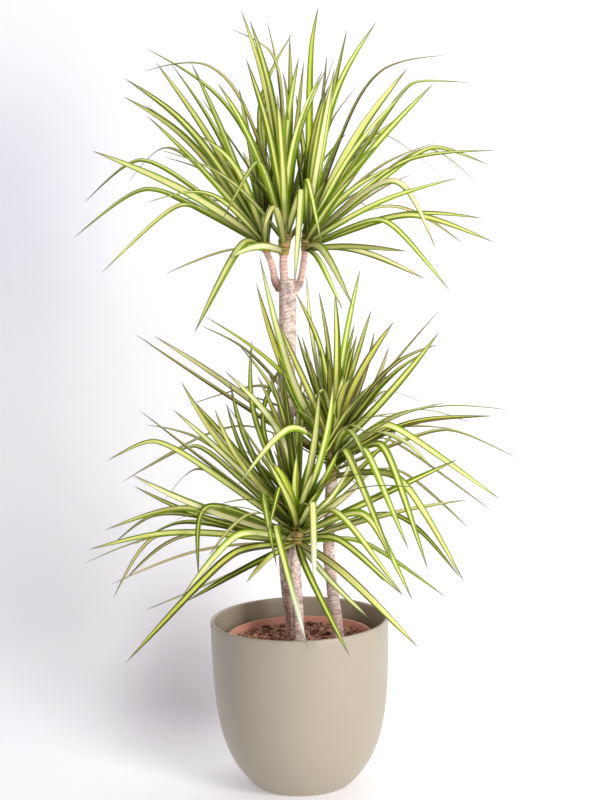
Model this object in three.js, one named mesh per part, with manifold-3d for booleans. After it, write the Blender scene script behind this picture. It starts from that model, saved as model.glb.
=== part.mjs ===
// A potted dracaena: a ceramic cover pot holding a plastic nursery pot of soil, with three canes of
// different heights and their heads of long, narrow, striped leaves.
// Millimetres, +Z up. The origin is the centre of the cover pot's flat underside; the photo's side is -Y.

import * as THREE from "three";
import { mergeVertices } from "three/addons/utils/BufferGeometryUtils.js";
import Module from "manifold-3d";

const wasm = await Module();
wasm.setup();

// ---------------------------------------------------------------------------------------------
// Driving dimensions
// ---------------------------------------------------------------------------------------------

const GAP = 0.3;

// The cover pot's wall follows radius(z) = end - swell * exp(-z / bend), from the base to the rim.
const COVER_POT = {
  height: 265, rimRadius: 140, baseRadius: 76, bend: 57, wall: 5.5, floor: 7,
  sides: 40, rows: 6, crowding: 1.5, lipAngles: [45, 90, 135],
};

const NURSERY_POT = {
  height: 231.5, rimRadius: 115, baseRadius: 73, wall: 1.8, floor: 2.2, sides: 32,
  lipHeight: 13, lipOut: 2.6, bevel: 1, footBevel: [3, 4],
  drainRadius: 5, drainRing: 45, drainCount: 6, drainSides: 12,
};

// The soil's dome falls from its flat middle over a shoulder to the rim; the rings are shares of its radius.
const SOIL = {
  depth: 223, dome: 4, flatRing: 0.4, shoulderRing: 0.75, shoulderDrop: 1 / 3,
  chunks: 13, chunkSize: [4.9, 8.4], chunkRing: 88, chunkShape: [1.3, 0.9, 0.6],
};

// Each cane: places its axis goes through, from the buried foot to the top, and its radius there.
const CANES = {
  tall_cane: {
    radius: 13.5, footRadius: 12.6, sides: 10, ringPitch: 34, ridge: 0.7,
    axis: [
      [-6, 12, 130], [-8, 14, 240], [-14, 18, 300], [-17, 21, 370], [-15, 22, 500],
      [-12, 20, 620], [-7, 16, 720], [-5, 14, 797],
    ],
  },
  front_cane: {
    radius: 8.2, footRadius: 9.2, sides: 9, ringPitch: 15, ridge: 0.5,
    axis: [[0, -25, 140], [-1, -25, 240], [-2, -26, 300], [-4, -26, 350], [0, -26, 388]],
  },
  right_cane: {
    radius: 9, footRadius: 9.4, sides: 9, ringPitch: 18, ridge: 0.5,
    axis: [[62, 2, 140], [60, 3, 240], [54, 5, 300], [49, 8, 370], [52, 12, 430], [56, 14, 480]],
  },
};

// A cane is buried this deep and settles from its foot's radius to its own over a share of its length;
// each scar rises and falls between these shares of a pitch. Axes are cut to beads this far apart.
const CANE = { buried: 20, settle: 0.25, scarTop: 0.45, scarEnd: 0.8, beadPitch: 8 };

// Three shoots grow from the tall cane's cut top, each with a swollen collar where it leaves the cane.
const SHOOTS = [
  { radius: 5.4, collar: 9, path: [[-14, 14, 778], [-23, 15, 792], [-29, 16, 820], [-36, 17, 838]] },
  { radius: 6.4, collar: 8, path: [[-7, 12, 780], [-10, 9, 800], [-11, 8, 818], [-10, 7, 834]] },
  { radius: 5.2, collar: 8.5, path: [[2, 12, 776], [13, 11, 790], [19, 9, 815], [23, 8, 840]] },
];

const SHOOT = { steps: 6, settle: 0.45 };

// Each head of leaves: the slim leafy stem that goes on from its cane or shoot, and how many leaves
// the golden-angle rule adds to the ones placed one by one.
const HEADS = {
  left: {
    node: "left_head_leaves", from: [-36, 17, 838], to: [-45, 15, 893],
    core: 6, more: 14, turn: 2.1, reach: 270, shun: 0,
  },
  middle: {
    node: "middle_head_leaves", from: [-10, 7, 834], to: [-3, 5, 905],
    core: 7.2, more: 16, turn: 0.4, reach: 285, shun: null,
  },
  right: {
    node: "right_head_leaves", from: [23, 8, 840], to: [31, 7, 895],
    core: 6, more: 13, turn: 1.2, reach: 270, shun: Math.PI,
  },
  front: {
    node: "front_cane_leaves", from: [0, -26, 388], to: [2, -30, 462],
    core: 8.2, more: 12, turn: 0.9, reach: 265, shun: null,
  },
  back: {
    node: "right_cane_leaves", from: [56, 14, 480], to: [62, 18, 590],
    core: 8.2, more: 10, turn: 2.6, reach: 275, shun: null,
  },
};

// The leafy stem's radius at even steps from its foot up to its tip, as shares of the head's core.
const HEAD_CORE = { shape: [1, 1.2, 1, 0.65], sides: 8 };

// Leaves: their three-cornered section, width and outline, where they leave the stem, how sharply they
// fold, and where the rings of their solids lie.
const LEAF = {
  keel: 1.1, edgeRise: 0.8, leastWidth: 6.6, widening: 0.64, turning: 1.35, seenAt: 0.55,
  rootWidth: 0.8, growth: 1.1, taper: 4, fullness: 0.85,
  creased: 0.93, softening: 3,
  roots: { reach: 0.85, flattest: 105, crowding: 1.6, lowest: 0.04, highest: 0.8, off: 0.35 },
  crease: { near: 0.25, round: 0.45, outer: 3.1, most: 0.9 },
  straight: { below: 0.63, steps: 3 }, curved: { below: 0.69, steps: 4 },
};

// The golden-angle rule: how far its leaves lean and droop in degrees, from the youngest to the oldest,
// the range of their lengths as shares of the head's reach, and the width that they show.
const RULE = {
  lean: [7, 74], droop: [3, 44], droopSpread: [0.6, 1.4], length: [0.88, 1.2], prime: 0.45, shorter: 0.25,
  width: 9, fold: 0.66, tries: 12, aside: 0.3,
};

const CLEAR = { leaves: 13, canes: 7, samples: 40, rootShare: 0.14, step: 11, tries: 8, apart: 0.23 };
const POT_KEEP_OUT = { radius: 154, height: 285 };

// The places below are where the leaves are seen on the upright plane through the pot's axis by an eye
// this far in front of it and this high. A place at another depth slides along that line of sight. The
// depths are as they look; the crown reaches as far to the front and back as the spread makes them.
const EYE = { distance: 2800, x: 9.5, height: 994 };
const DEPTH = { spread: 1.3, tipPush: 1.4 };

// One row for each leaf that shows plainly: head, where it bends (x, z, depth), its tip (x, z, depth),
// the width it shows, and how sharply it folds at the bend (0.6 in a long curve to 0.9 creased).
const LEAVES = [
  ["left", -160, 937, -15, -299, 1001, -30, 10, 0.66],
  ["left", -225, 985, 15, -313, 921, 25, 6, 0.8],
  ["left", -186, 1003, 70, -245, 949, 90, 4, 0.72],
  ["left", -217, 941, 25, -331, 868, 20, 6, 0.82],
  ["left", -162, 916, 20, -292, 812, 10, 6, 0.85],
  ["left", -130, 934, -60, -219, 919, -90, 6, 0.7],
  ["left", -135, 906, 60, -198, 937, 90, 5, 0.6],
  ["left", -96, 845, 90, -193, 810, 130, 4, 0.6],
  ["left", -120, 962, 80, -190, 988, 110, 4, 0.6],
  ["left", -165, 1026, -10, -248, 1081, -20, 8, 0.66],
  ["left", -160, 1043, -30, -245, 1108, -40, 10, 0.66],
  ["left", -150, 1015, 40, -216, 1068, 60, 7, 0.6],
  ["left", -150, 990, -50, -213, 1052, -60, 8, 0.6],
  ["left", -130, 1035, 10, -197, 1132, 20, 8, 0.6],
  ["left", -115, 1040, 50, -173, 1128, 70, 6, 0.6],
  ["left", -106, 1045, -40, -143, 1130, -50, 8, 0.7],
  ["left", -90, 985, -70, -135, 1020, -100, 9, 0.6],
  ["left", -69, 856, -40, -152, 716, -60, 10, 0.75],
  ["middle", -58, 848, -75, -95, 832, -110, 10, 0.6],
  ["middle", -97, 1072, 30, -212, 1152, 40, 6, 0.66],
  ["middle", -115, 1124, 20, -217, 1116, 30, 4, 0.62],
  ["middle", -70, 1042, -60, -104, 1098, -80, 9, 0.6],
  ["middle", -36, 1110, 15, -66, 1207, 20, 7, 0.6],
  ["middle", -24, 1085, -30, -53, 1192, -40, 10, 0.6],
  ["middle", -11, 1110, 30, -27, 1190, 30, 5, 0.6],
  ["middle", -21, 1141, 25, -84, 1178, 20, 4, 0.75],
  ["middle", -40, 1060, 50, 14, 1172, 60, 6, 0.7],
  ["middle", 6, 1070, 60, 7, 1167, 70, 7, 0.6],
  ["middle", -32, 1040, -70, -60, 1134, -90, 10, 0.6],
  ["middle", -8, 990, -90, -14, 1080, -120, 9, 0.6],
  ["middle", 3, 1050, -60, 21, 1134, -75, 9, 0.6],
  ["middle", 17, 1050, 80, 28, 1128, 90, 7, 0.6],
  ["right", 40, 1150, -25, 52, 1209, -25, 9, 0.75],
  ["middle", 19, 934, -60, 5, 786, -80, 9, 0.9],
  ["middle", -47, 978, -85, -104, 888, -110, 7, 0.85],
  ["middle", 21, 1029, -40, 60, 1112, -55, 7, 0.6],
  ["middle", 15, 1024, -60, 58, 1115, -80, 8, 0.6],
  ["middle", 2, 1068, 60, -5, 1113, 70, 7, 0.6],
  ["right", 52, 1050, 70, 63, 1136, 90, 5, 0.6],
  ["right", 66, 1060, 35, 95, 1176, 40, 7, 0.66],
  ["right", 80, 1090, -20, 140, 1184, -25, 9, 0.66],
  ["right", 67, 1036, 90, 110, 1090, 110, 5, 0.75],
  ["right", 144, 1110, 15, 244, 1130, 20, 4, 0.7],
  ["right", 113, 1024, -20, 186, 1114, -25, 12, 0.6],
  ["right", 191, 1090, 20, 281, 1088, 25, 6, 0.85],
  ["right", 130, 995, -10, 226, 1091, -10, 9, 0.6],
  ["right", 105, 985, 60, 172, 1040, 100, 7, 0.6],
  ["right", 134, 1016, 60, 240, 944, 80, 4, 0.8],
  ["right", 220, 993, 0, 308, 963, 0, 7, 0.82],
  ["right", 215, 991, 40, 294, 930, 50, 5, 0.78],
  ["right", 140, 967, 80, 225, 1000, 110, 4, 0.6],
  ["right", 182, 975, -10, 322, 986, -15, 6, 0.8],
  ["right", 85, 945, -70, 135, 998, -100, 10, 0.6],
  ["right", 100, 935, -90, 168, 970, -130, 8, 0.6],
  ["right", 75, 925, -90, 108, 960, -130, 9, 0.6],
  ["right", 135, 930, 100, 188, 953, 150, 4, 0.6],
  ["right", 150, 917, -50, 260, 946, -70, 7, 0.66],
  ["right", 165, 943, -50, 224, 835, -60, 8, 0.76],
  ["right", 186, 892, -20, 316, 845, -20, 8, 0.82],
  ["right", 181, 894, 30, 298, 883, 30, 6, 0.7],
  ["right", 160, 906, 60, 267, 844, 70, 4, 0.7],
  ["right", 143, 885, -30, 246, 771, -40, 7, 0.85],
  ["right", 100, 846, -90, 180, 836, -150, 7, 0.66],
  ["right", 100, 841, -60, 208, 792, -90, 8, 0.66],
  ["right", 49, 843, -80, 95, 752, -130, 10, 0.75],
  ["right", 42, 830, -40, 79, 747, -60, 7, 0.7],
  ["right", 29, 950, -85, 49, 847, -100, 7, 0.86],
  ["right", 45, 1010, -60, 62, 1085, -80, 9, 0.6],
  ["right", 52, 990, -50, 72, 1090, -70, 8, 0.6],
  ["right", 42, 1025, -45, 66, 1091, -55, 9, 0.6],
  ["right", 51, 1010, -75, 75, 1118, -90, 8, 0.6],
  ["right", 24, 1000, 60, 14, 1080, 80, 7, 0.6],
  ["front", 14, 342, -95, 79, 198, -160, 8, 0.75],
  ["front", -32, 412, -80, 13, 210, -158, 8, 0.88],
  ["front", 60, 345, -60, 188, 210, -75, 10, 0.7],
  ["front", 45, 330, -30, 109, 262, -25, 7, 0.7],
  ["front", -42, 366, -50, -82, 323, -70, 6, 0.75],
  ["front", -95, 341, -20, -175, 296, -30, 7, 0.6],
  ["front", -96, 373, -45, -278, 196, -70, 9, 0.82],
  ["front", -91, 401, -60, -184, 303, -90, 9, 0.83],
  ["front", -143, 444, -30, -156, 330, -50, 8, 0.78],
  ["front", -174, 457, -20, -255, 500, -30, 10, 0.6],
  ["front", -175, 442, 40, -253, 482, 60, 6, 0.6],
  ["front", -179, 445, 10, -302, 412, 15, 8, 0.75],
  ["front", -223, 435, 60, -292, 386, 70, 5, 0.72],
  ["front", -206, 406, -10, -328, 382, -10, 9, 0.7],
  ["front", -187, 422, 70, -255, 388, 90, 6, 0.75],
  ["front", -224, 400, 50, -335, 360, 60, 4, 0.7],
  ["front", -224, 400, 30, -293, 300, 40, 5, 0.78],
  ["front", -190, 397, 60, -272, 332, 90, 5, 0.7],
  ["front", -156, 377, 20, -295, 325, 20, 5, 0.7],
  ["front", -150, 320, 90, -244, 282, 120, 4, 0.7],
  ["front", -219, 552, 0, -295, 521, 5, 7, 0.8],
  ["back", -79, 573, 40, -274, 486, 60, 4, 0.75],
  ["front", -154, 543, 60, -246, 502, 80, 6, 0.85],
  ["front", -191, 561, 30, -240, 601, 40, 4, 0.7],
  ["front", -153, 557, 90, -233, 578, 110, 4, 0.62],
  ["front", -120, 537, -20, -188, 601, -30, 9, 0.6],
  ["front", -125, 560, -10, -174, 645, -20, 9, 0.6],
  ["front", -112, 560, 30, -160, 618, 50, 8, 0.6],
  ["front", -92, 527, -40, -123, 600, -60, 8, 0.6],
  ["front", -78, 525, 60, -105, 610, 90, 6, 0.6],
  ["front", -75, 548, 20, -98, 640, 30, 8, 0.6],
  ["front", -154, 507, 60, -211, 450, 80, 5, 0.75],
  ["front", -51, 465, -70, -33, 347, -95, 8, 0.88],
  ["front", 25, 449, -80, 25, 301, -100, 9, 0.9],
  ["front", -48, 590, 0, -6, 682, 20, 6, 0.7],
  ["front", 28, 530, -50, 40, 630, -60, 10, 0.6],
  ["front", 46, 540, -60, 62, 640, -80, 9, 0.6],
  ["front", -64, 602, -10, -62, 708, 0, 7, 0.72],
  ["front", -18, 488, -95, -37, 515, -130, 10, 0.6],
  ["front", 150, 466, -30, 254, 512, -40, 9, 0.6],
  ["front", 184, 436, 10, 269, 447, 20, 5, 0.65],
  ["front", 101, 430, -40, 180, 285, -50, 9, 0.82],
  ["front", 57, 436, -80, 166, 293, -120, 8, 0.82],
  ["front", 59, 392, -50, 163, 297, -80, 8, 0.8],
  ["front", 92, 388, -10, 234, 290, -10, 7, 0.78],
  ["front", 155, 426, 40, 256, 320, 50, 7, 0.78],
  ["front", 64, 386, 10, 136, 318, 40, 5, 0.78],
  ["front", 100, 500, 30, 166, 568, 50, 7, 0.6],
  ["back", -90, 612, 60, -243, 720, 70, 5, 0.6],
  ["back", -133, 662, 70, -215, 717, 90, 7, 0.65],
  ["front", -19, 550, -30, -107, 660, -40, 10, 0.62],
  ["front", -2, 480, -60, 3, 528, -85, 8, 0.6],
  ["front", -25, 476, -95, -46, 400, -135, 7, 0.88],
  ["front", -13, 458, -90, -50, 530, -120, 8, 0.62],
  ["front", 40, 476, -50, 69, 534, -60, 10, 0.6],
  ["front", 54, 456, -35, 95, 531, -45, 7, 0.6],
  ["front", 66, 450, -10, 122, 501, -10, 8, 0.6],
  ["front", 5, 578, 0, 14, 653, 10, 8, 0.6],
  ["front", 9, 548, 20, 17, 633, 40, 6, 0.6],
  ["front", -6, 566, -20, -26, 668, -20, 8, 0.6],
  ["front", -22, 567, -30, -56, 652, -40, 8, 0.6],
  ["front", -13, 570, -50, -40, 661, -60, 7, 0.6],
  ["front", -10, 590, -55, -17, 662, -66, 9, 0.6],
  ["back", 8, 598, -16, -22, 680, -24, 9, 0.6],
  ["front", -24, 612, 0, -82, 697, 10, 6, 0.62],
  ["front", 53, 544, -50, 93, 610, -60, 8, 0.6],
  ["back", -80, 598, -50, -146, 650, -70, 7, 0.6],
  ["back", -30, 668, -58, -137, 746, -72, 7, 0.65],
  ["back", -75, 694, 60, -142, 730, 80, 4, 0.7],
  ["back", -2, 632, -25, -54, 796, -30, 9, 0.62],
  ["back", 12, 608, -40, -48, 838, -50, 10, 0.62],
  ["back", 30, 608, -50, -24, 738, -70, 9, 0.62],
  ["back", 22, 667, 60, 7, 715, 90, 7, 0.6],
  ["back", 34, 640, 70, 14, 712, 110, 5, 0.6],
  ["back", 56, 690, 0, 42, 780, 0, 6, 0.6],
  ["back", 32, 700, 50, 24, 805, 60, 5, 0.6],
  ["back", 42, 695, 30, 5, 780, 30, 7, 0.65],
  ["back", 69, 690, -30, 67, 778, -40, 10, 0.6],
  ["back", 82, 705, 10, 107, 812, 10, 8, 0.6],
  ["back", 96, 670, 20, 123, 749, 30, 7, 0.6],
  ["back", 112, 655, 80, 127, 716, 110, 5, 0.6],
  ["back", 109, 660, -20, 158, 730, -30, 11, 0.6],
  ["back", 125, 630, 70, 149, 692, 100, 7, 0.6],
  ["back", 140, 646, 90, 229, 746, 120, 4, 0.6],
  ["back", 152, 622, -20, 228, 713, -30, 10, 0.6],
  ["back", 159, 665, 30, 226, 692, 40, 5, 0.6],
  ["back", 138, 621, 80, 201, 601, 110, 4, 0.8],
  ["back", 140, 575, 100, 235, 601, 140, 4, 0.6],
  ["back", 173, 569, 20, 312, 578, 30, 7, 0.75],
  ["back", 140, 562, 80, 245, 560, 120, 4, 0.7],
  ["back", 142, 569, 0, 322, 443, 0, 8, 0.86],
  ["back", 236, 559, 40, 346, 510, 50, 4, 0.82],
  ["back", 133, 538, -50, 205, 332, -70, 10, 0.85],
  ["back", 78, 531, -70, 150, 350, -100, 10, 0.87],
  ["back", 107, 531, -30, 175, 366, -40, 9, 0.87],
  ["back", 156, 487, -20, 262, 312, -30, 9, 0.82],
  ["back", 156, 498, 50, 270, 400, 70, 4, 0.8],
  ["back", 137, 548, 60, 309, 425, 70, 4, 0.84],
  ["back", -8, 566, -62, -92, 476, -76, 9, 0.75],
  ["back", 8, 542, -58, -75, 490, -70, 9, 0.75],
  ["back", 45, 626, -20, 16, 592, -40, 7, 0.8],
  ["back", -44, 634, 90, -170, 605, 110, 4, 0.85],
  ["back", 154, 648, 10, 206, 682, 20, 7, 0.6],
];

const FINISHES = {
  glazedStone: { color: 0x9a957f, roughness: 0.42, metalness: 0 },
  terracottaPlastic: { color: 0xb0543f, roughness: 0.6, metalness: 0 },
  soil: { color: 0x4a2c22, roughness: 0.95, metalness: 0 },
  bark: { color: 0xc9a096, roughness: 0.85, metalness: 0 },
  leaf: { color: 0xa9bf3c, roughness: 0.45, metalness: 0 },
};

// ---------------------------------------------------------------------------------------------
// Helpers: solids and meshes
// ---------------------------------------------------------------------------------------------

const vector = (place) => new THREE.Vector3(...place);
const clamp = THREE.MathUtils.clamp;
const lerp = THREE.MathUtils.lerp;
const degrees = THREE.MathUtils.degToRad;

/** Turns a closed geometry into a manifold solid, with its shared vertices merged. */
function toSolid(geometry) {
  const bare = geometry.clone();
  bare.deleteAttribute("normal");
  bare.deleteAttribute("uv");
  const merged = mergeVertices(bare, 1e-4);
  const corners = [];
  const index = merged.index.array;
  for (let i = 0; i < index.length; i += 3) {
    const [a, b, c] = [index[i], index[i + 1], index[i + 2]];
    if (a !== b && b !== c && c !== a) {
      corners.push(a, b, c);
    }
  }
  return new wasm.Manifold(new wasm.Mesh({
    numProp: 3,
    vertProperties: new Float32Array(merged.attributes.position.array),
    triVerts: new Uint32Array(corners),
  }));
}

/** Turns a manifold solid back into a geometry. */
function toGeometry(solid) {
  const { vertProperties, triVerts } = solid.getMesh();
  const geometry = new THREE.BufferGeometry();
  geometry.setAttribute("position", new THREE.BufferAttribute(vertProperties, 3));
  geometry.setIndex(new THREE.BufferAttribute(triVerts, 1));
  geometry.computeVertexNormals();
  return geometry;
}

/** The largest body of a solid: loose scraps are dropped. */
function mainBody(solid) {
  const bodies = solid.decompose();
  bodies.sort((a, b) => b.volume() - a.volume());
  return bodies[0];
}

/** A closed skin over rings of equally many points; a last ring of one point closes to a tip. */
function loft(rings) {
  const sides = rings[0].length;
  const places = rings.flat().flatMap((point) => [point.x, point.y, point.z]);
  const faces = [];
  for (let side = 1; side < sides - 1; side += 1) {
    faces.push(0, side + 1, side);
  }
  for (let row = 0; row < rings.length - 1; row += 1) {
    const low = row * sides;
    const high = low + sides;
    for (let side = 0; side < sides; side += 1) {
      const next = (side + 1) % sides;
      if (rings[row + 1].length === 1) {
        faces.push(low + side, low + next, high);
      } else {
        faces.push(low + side, low + next, high + next, low + side, high + next, high + side);
      }
    }
  }
  const last = (rings.length - 1) * sides;
  if (rings[rings.length - 1].length > 1) {
    for (let side = 1; side < sides - 1; side += 1) {
      faces.push(last, last + side, last + side + 1);
    }
  }
  const geometry = new THREE.BufferGeometry();
  geometry.setAttribute("position", new THREE.Float32BufferAttribute(places, 3));
  geometry.setIndex(faces);
  return geometry;
}

/** A level ring round a centre. */
function levelRing(centre, radius, sides) {
  return Array.from({ length: sides }, (_, side) => {
    const angle = (2 * Math.PI * side) / sides;
    return new THREE.Vector3(
      centre.x + radius * Math.cos(angle),
      centre.y + radius * Math.sin(angle),
      centre.z,
    );
  });
}

/** A profile of (radius, height) points turned about the Z axis. */
function turned(profile, sides) {
  const points = profile.map(([radius, height]) => new THREE.Vector2(radius, height));
  return new THREE.LatheGeometry(points, sides).rotateX(Math.PI / 2);
}

function named(name, geometry, finish) {
  const mesh = new THREE.Mesh(geometry, new THREE.MeshStandardMaterial(finish));
  mesh.name = name;
  return mesh;
}

// ---------------------------------------------------------------------------------------------
// Pots and soil
// ---------------------------------------------------------------------------------------------

/** The cover pot's outer radius at a height. */
function coverRadius(z) {
  const { height, rimRadius, baseRadius, bend } = COVER_POT;
  const swell = (rimRadius - baseRadius) / (1 - Math.exp(-height / bend));
  return baseRadius + swell * (1 - Math.exp(-z / bend));
}

function coverPot() {
  const { height, rimRadius, wall, floor, sides, rows, crowding, lipAngles } = COVER_POT;
  const lip = wall / 2;
  const outside = [];
  const inside = [];
  for (let row = 0; row <= rows; row += 1) {
    const rise = (row / rows) ** crowding;
    const z = (height - lip) * rise;
    outside.push([coverRadius(z), z]);
    const inner = lerp(floor, height - lip, rise);
    inside.push([coverRadius(inner) - wall, inner]);
  }
  const lipArc = lipAngles.map((angle) => [
    rimRadius - lip + lip * Math.cos(degrees(angle)),
    height - lip + lip * Math.sin(degrees(angle)),
  ]);
  const profile = [[0, 0], ...outside, ...lipArc, ...inside.reverse(), [0, floor]];
  return toGeometry(toSolid(turned(profile, sides)));
}

const nurseryFoot = COVER_POT.floor + GAP;
const nurseryRim = nurseryFoot + NURSERY_POT.height;

/** The nursery pot's outer radius at a height. */
function nurseryRadius(z) {
  const { height, rimRadius, baseRadius, lipOut } = NURSERY_POT;
  return lerp(baseRadius, rimRadius - lipOut, (z - nurseryFoot) / height);
}

function nurseryPot() {
  const { wall, floor, sides, lipHeight, lipOut, bevel, footBevel } = NURSERY_POT;
  const lipFoot = nurseryRim - lipHeight;
  const profile = [
    [0, nurseryFoot],
    [nurseryRadius(nurseryFoot) - footBevel[0], nurseryFoot],
    [nurseryRadius(nurseryFoot), nurseryFoot + footBevel[1]],
    [nurseryRadius(lipFoot), lipFoot],
    [nurseryRadius(lipFoot) + lipOut, lipFoot + bevel],
    [nurseryRadius(nurseryRim) + lipOut, nurseryRim - bevel],
    [nurseryRadius(nurseryRim) + lipOut - bevel, nurseryRim],
    [nurseryRadius(nurseryRim) - wall, nurseryRim],
    [nurseryRadius(nurseryFoot + floor) - wall, nurseryFoot + floor],
    [0, nurseryFoot + floor],
  ];
  const holes = drainPlaces().map(([x, y]) => {
    const { drainRadius, drainSides } = NURSERY_POT;
    const drill = new THREE.CylinderGeometry(drainRadius, drainRadius, 4 * floor, drainSides);
    return toSolid(drill.rotateX(Math.PI / 2).translate(x, y, nurseryFoot + floor / 2));
  });
  return toGeometry(toSolid(turned(profile, sides)).subtract(wasm.Manifold.union(holes)));
}

function drainPlaces() {
  const { drainRing, drainCount } = NURSERY_POT;
  return Array.from({ length: drainCount }, (_, hole) => {
    const angle = (2 * Math.PI * hole) / drainCount;
    return [drainRing * Math.cos(angle), drainRing * Math.sin(angle)];
  });
}

const soilFoot = nurseryFoot + NURSERY_POT.floor + GAP;
const soilTop = soilFoot + SOIL.depth;

/** The soil, domed a little, with bark chunks on top and a plain hole round each cane. */
function soil() {
  const { dome, chunks, chunkSize, chunkRing, chunkShape } = SOIL;
  const edge = NURSERY_POT.wall + 2 * GAP;
  const rim = nurseryRadius(soilTop - dome) - edge;
  const profile = [
    [0, soilFoot],
    [nurseryRadius(soilFoot) - edge, soilFoot],
    [rim, soilTop - dome],
    [SOIL.shoulderRing * rim, soilTop - SOIL.shoulderDrop * dome],
    [SOIL.flatRing * rim, soilTop],
    [0, soilTop],
  ];
  const lumps = Array.from({ length: chunks }, (_, i) => {
    const ring = chunkRing * Math.sqrt((i + 1) / chunks);
    const angle = i * GOLDEN_ANGLE;
    const lump = new THREE.IcosahedronGeometry(lerp(...chunkSize, share(i, 1)), 0);
    lump.scale(...chunkShape).rotateZ(i);
    return toSolid(lump.translate(ring * Math.cos(angle), ring * Math.sin(angle), soilTop - dome / 2));
  });
  const bed = toSolid(turned(profile, NURSERY_POT.sides)).add(wasm.Manifold.union(lumps));
  const holes = Object.keys(CANES).map((name) => toSolid(caneTube(CANES[name], 1.5 * GAP)));
  return toGeometry(mainBody(bed.subtract(wasm.Manifold.union(holes))));
}

// ---------------------------------------------------------------------------------------------
// Canes
// ---------------------------------------------------------------------------------------------

/** A cane with a raised leaf scar every ringPitch above the soil; extra makes it fatter and deeper. */
function caneTube(cane, extra = 0) {
  const { radius, footRadius, sides, ringPitch, ridge } = cane;
  const curve = new THREE.CatmullRomCurve3(cane.axis.map(vector), false, "centripetal");
  const buried = (soilTop - CANE.buried - cane.axis[0][2]) / curve.getLength();
  const scars = Math.floor(((1 - buried) * curve.getLength()) / ringPitch);
  const stops = [0, buried];
  const raised = [0, 0];
  for (let scar = 0; scar < scars; scar += 1) {
    const at = (rise) => lerp(buried, 1, (scar + rise) / scars);
    stops.push(at(CANE.scarTop), at(CANE.scarEnd));
    raised.push(ridge, 0);
  }
  stops.push(1);
  raised.push(0);
  const rings = stops.map((stop, i) => {
    const centre = curve.getPointAt(stop);
    const plain = lerp(footRadius, radius, clamp((stop - buried) / CANE.settle, 0, 1));
    return levelRing(centre, plain + (extra > 0 ? ridge + extra : raised[i]), sides);
  });
  rings[0].forEach((point) => { point.z -= extra; });
  return loft(rings);
}

/** A shoot of the tall cane, swollen at its collar; extra makes it fatter. */
function shootTube(shoot, extra = 0) {
  const curve = new THREE.CatmullRomCurve3(shoot.path.map(vector), false, "centripetal");
  const { steps, settle } = SHOOT;
  const rings = Array.from({ length: steps + 1 }, (_, step) => {
    const stop = step / steps;
    const swollen = lerp(shoot.collar, shoot.radius, clamp(stop / settle, 0, 1));
    return levelRing(curve.getPointAt(stop), swollen + extra, CANES.front_cane.sides);
  });
  return loft(rings);
}

function tallCane() {
  const shoots = SHOOTS.map((shoot) => toSolid(shootTube(shoot)));
  return toGeometry(mainBody(wasm.Manifold.union([toSolid(caneTube(CANES.tall_cane)), ...shoots])));
}

// ---------------------------------------------------------------------------------------------
// Leaves
// ---------------------------------------------------------------------------------------------

/** An even spread of shares between 0 and 1 for the numbers 0, 1, 2...; kind picks one of three. */
function share(number, kind) {
  const stride = [0.7548776662, 0.569840291, 0.6180339887][kind];
  return (0.5 + number * stride) % 1;
}

/** A place seen at x, z on the upright plane through the pot's axis, at its own depth. */
function seen(x, z, depth) {
  const slide = 1 + depth / EYE.distance;
  return new THREE.Vector3(EYE.x + (x - EYE.x) * slide, depth, EYE.height + (z - EYE.height) * slide);
}

/** Where a leaf leaves its head's stem: the more upright it is, the higher. */
function rootOf(head, bend) {
  const from = vector(head.from);
  const to = vector(head.to);
  const out = bend.clone().sub(from);
  const lean = Math.atan2(Math.hypot(out.x, out.y), out.z);
  const { reach, flattest, crowding, lowest, highest, off } = LEAF.roots;
  const upright = Math.max(0, 1 - lean / degrees(flattest));
  const height = clamp(reach * upright ** crowding, lowest, highest);
  const root = from.lerp(to, height);
  const aside = new THREE.Vector3(out.x, out.y, 0).setLength(head.core * off * (1 - height));
  return root.add(aside);
}

/**
 * A leaf's line from its root through its bend to its tip: a hyperbola, nearly straight at both
 * ends, that turns round its corner over softness times the shorter end's length.
 */
class LeafLine extends THREE.Curve {
  constructor(root, bend, tip, softness) {
    super();
    this.near = root.distanceTo(bend);
    this.far = bend.distanceTo(tip);
    this.round = softness * Math.min(this.near, this.far);
    const toRoot = this.pull(0, this.far, this.near);
    const toTip = this.pull(0, this.near, this.far);
    this.corner = bend.clone()
      .addScaledVector(root, -toRoot)
      .addScaledVector(tip, -toTip)
      .divideScalar(1 - toRoot - toTip);
    this.toRoot = root.clone().sub(this.corner);
    this.toTip = tip.clone().sub(this.corner);
  }

  /** How far toward one end the line has gone at a distance past the bend: 0 at -before, 1 at after. */
  pull(distance, before, after) {
    const ramp = (along) => (along + Math.hypot(along, this.round)) / 2;
    return (ramp(distance) - ramp(-before)) / (ramp(after) - ramp(-before));
  }

  /** The place at a share of the length. */
  getPoint(share) {
    const past = lerp(-this.near, this.far, share);
    return this.corner.clone()
      .addScaledVector(this.toRoot, this.pull(-past, this.far, this.near))
      .addScaledVector(this.toTip, this.pull(past, this.near, this.far));
  }

  /** The share of the length at a distance past the bend. */
  shareAt(past) {
    return (this.near + past) / (this.near + this.far);
  }
}

/** The directions across a leaf's line at share t: one lies level, the other stands. */
function crossways(curve, side, t) {
  const tangent = curve.getTangent(t);
  const lying = side.clone().addScaledVector(tangent, -side.dot(tangent)).normalize();
  const standing = new THREE.Vector3().crossVectors(tangent, side).normalize();
  return { tangent, lying, standing };
}

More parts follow.
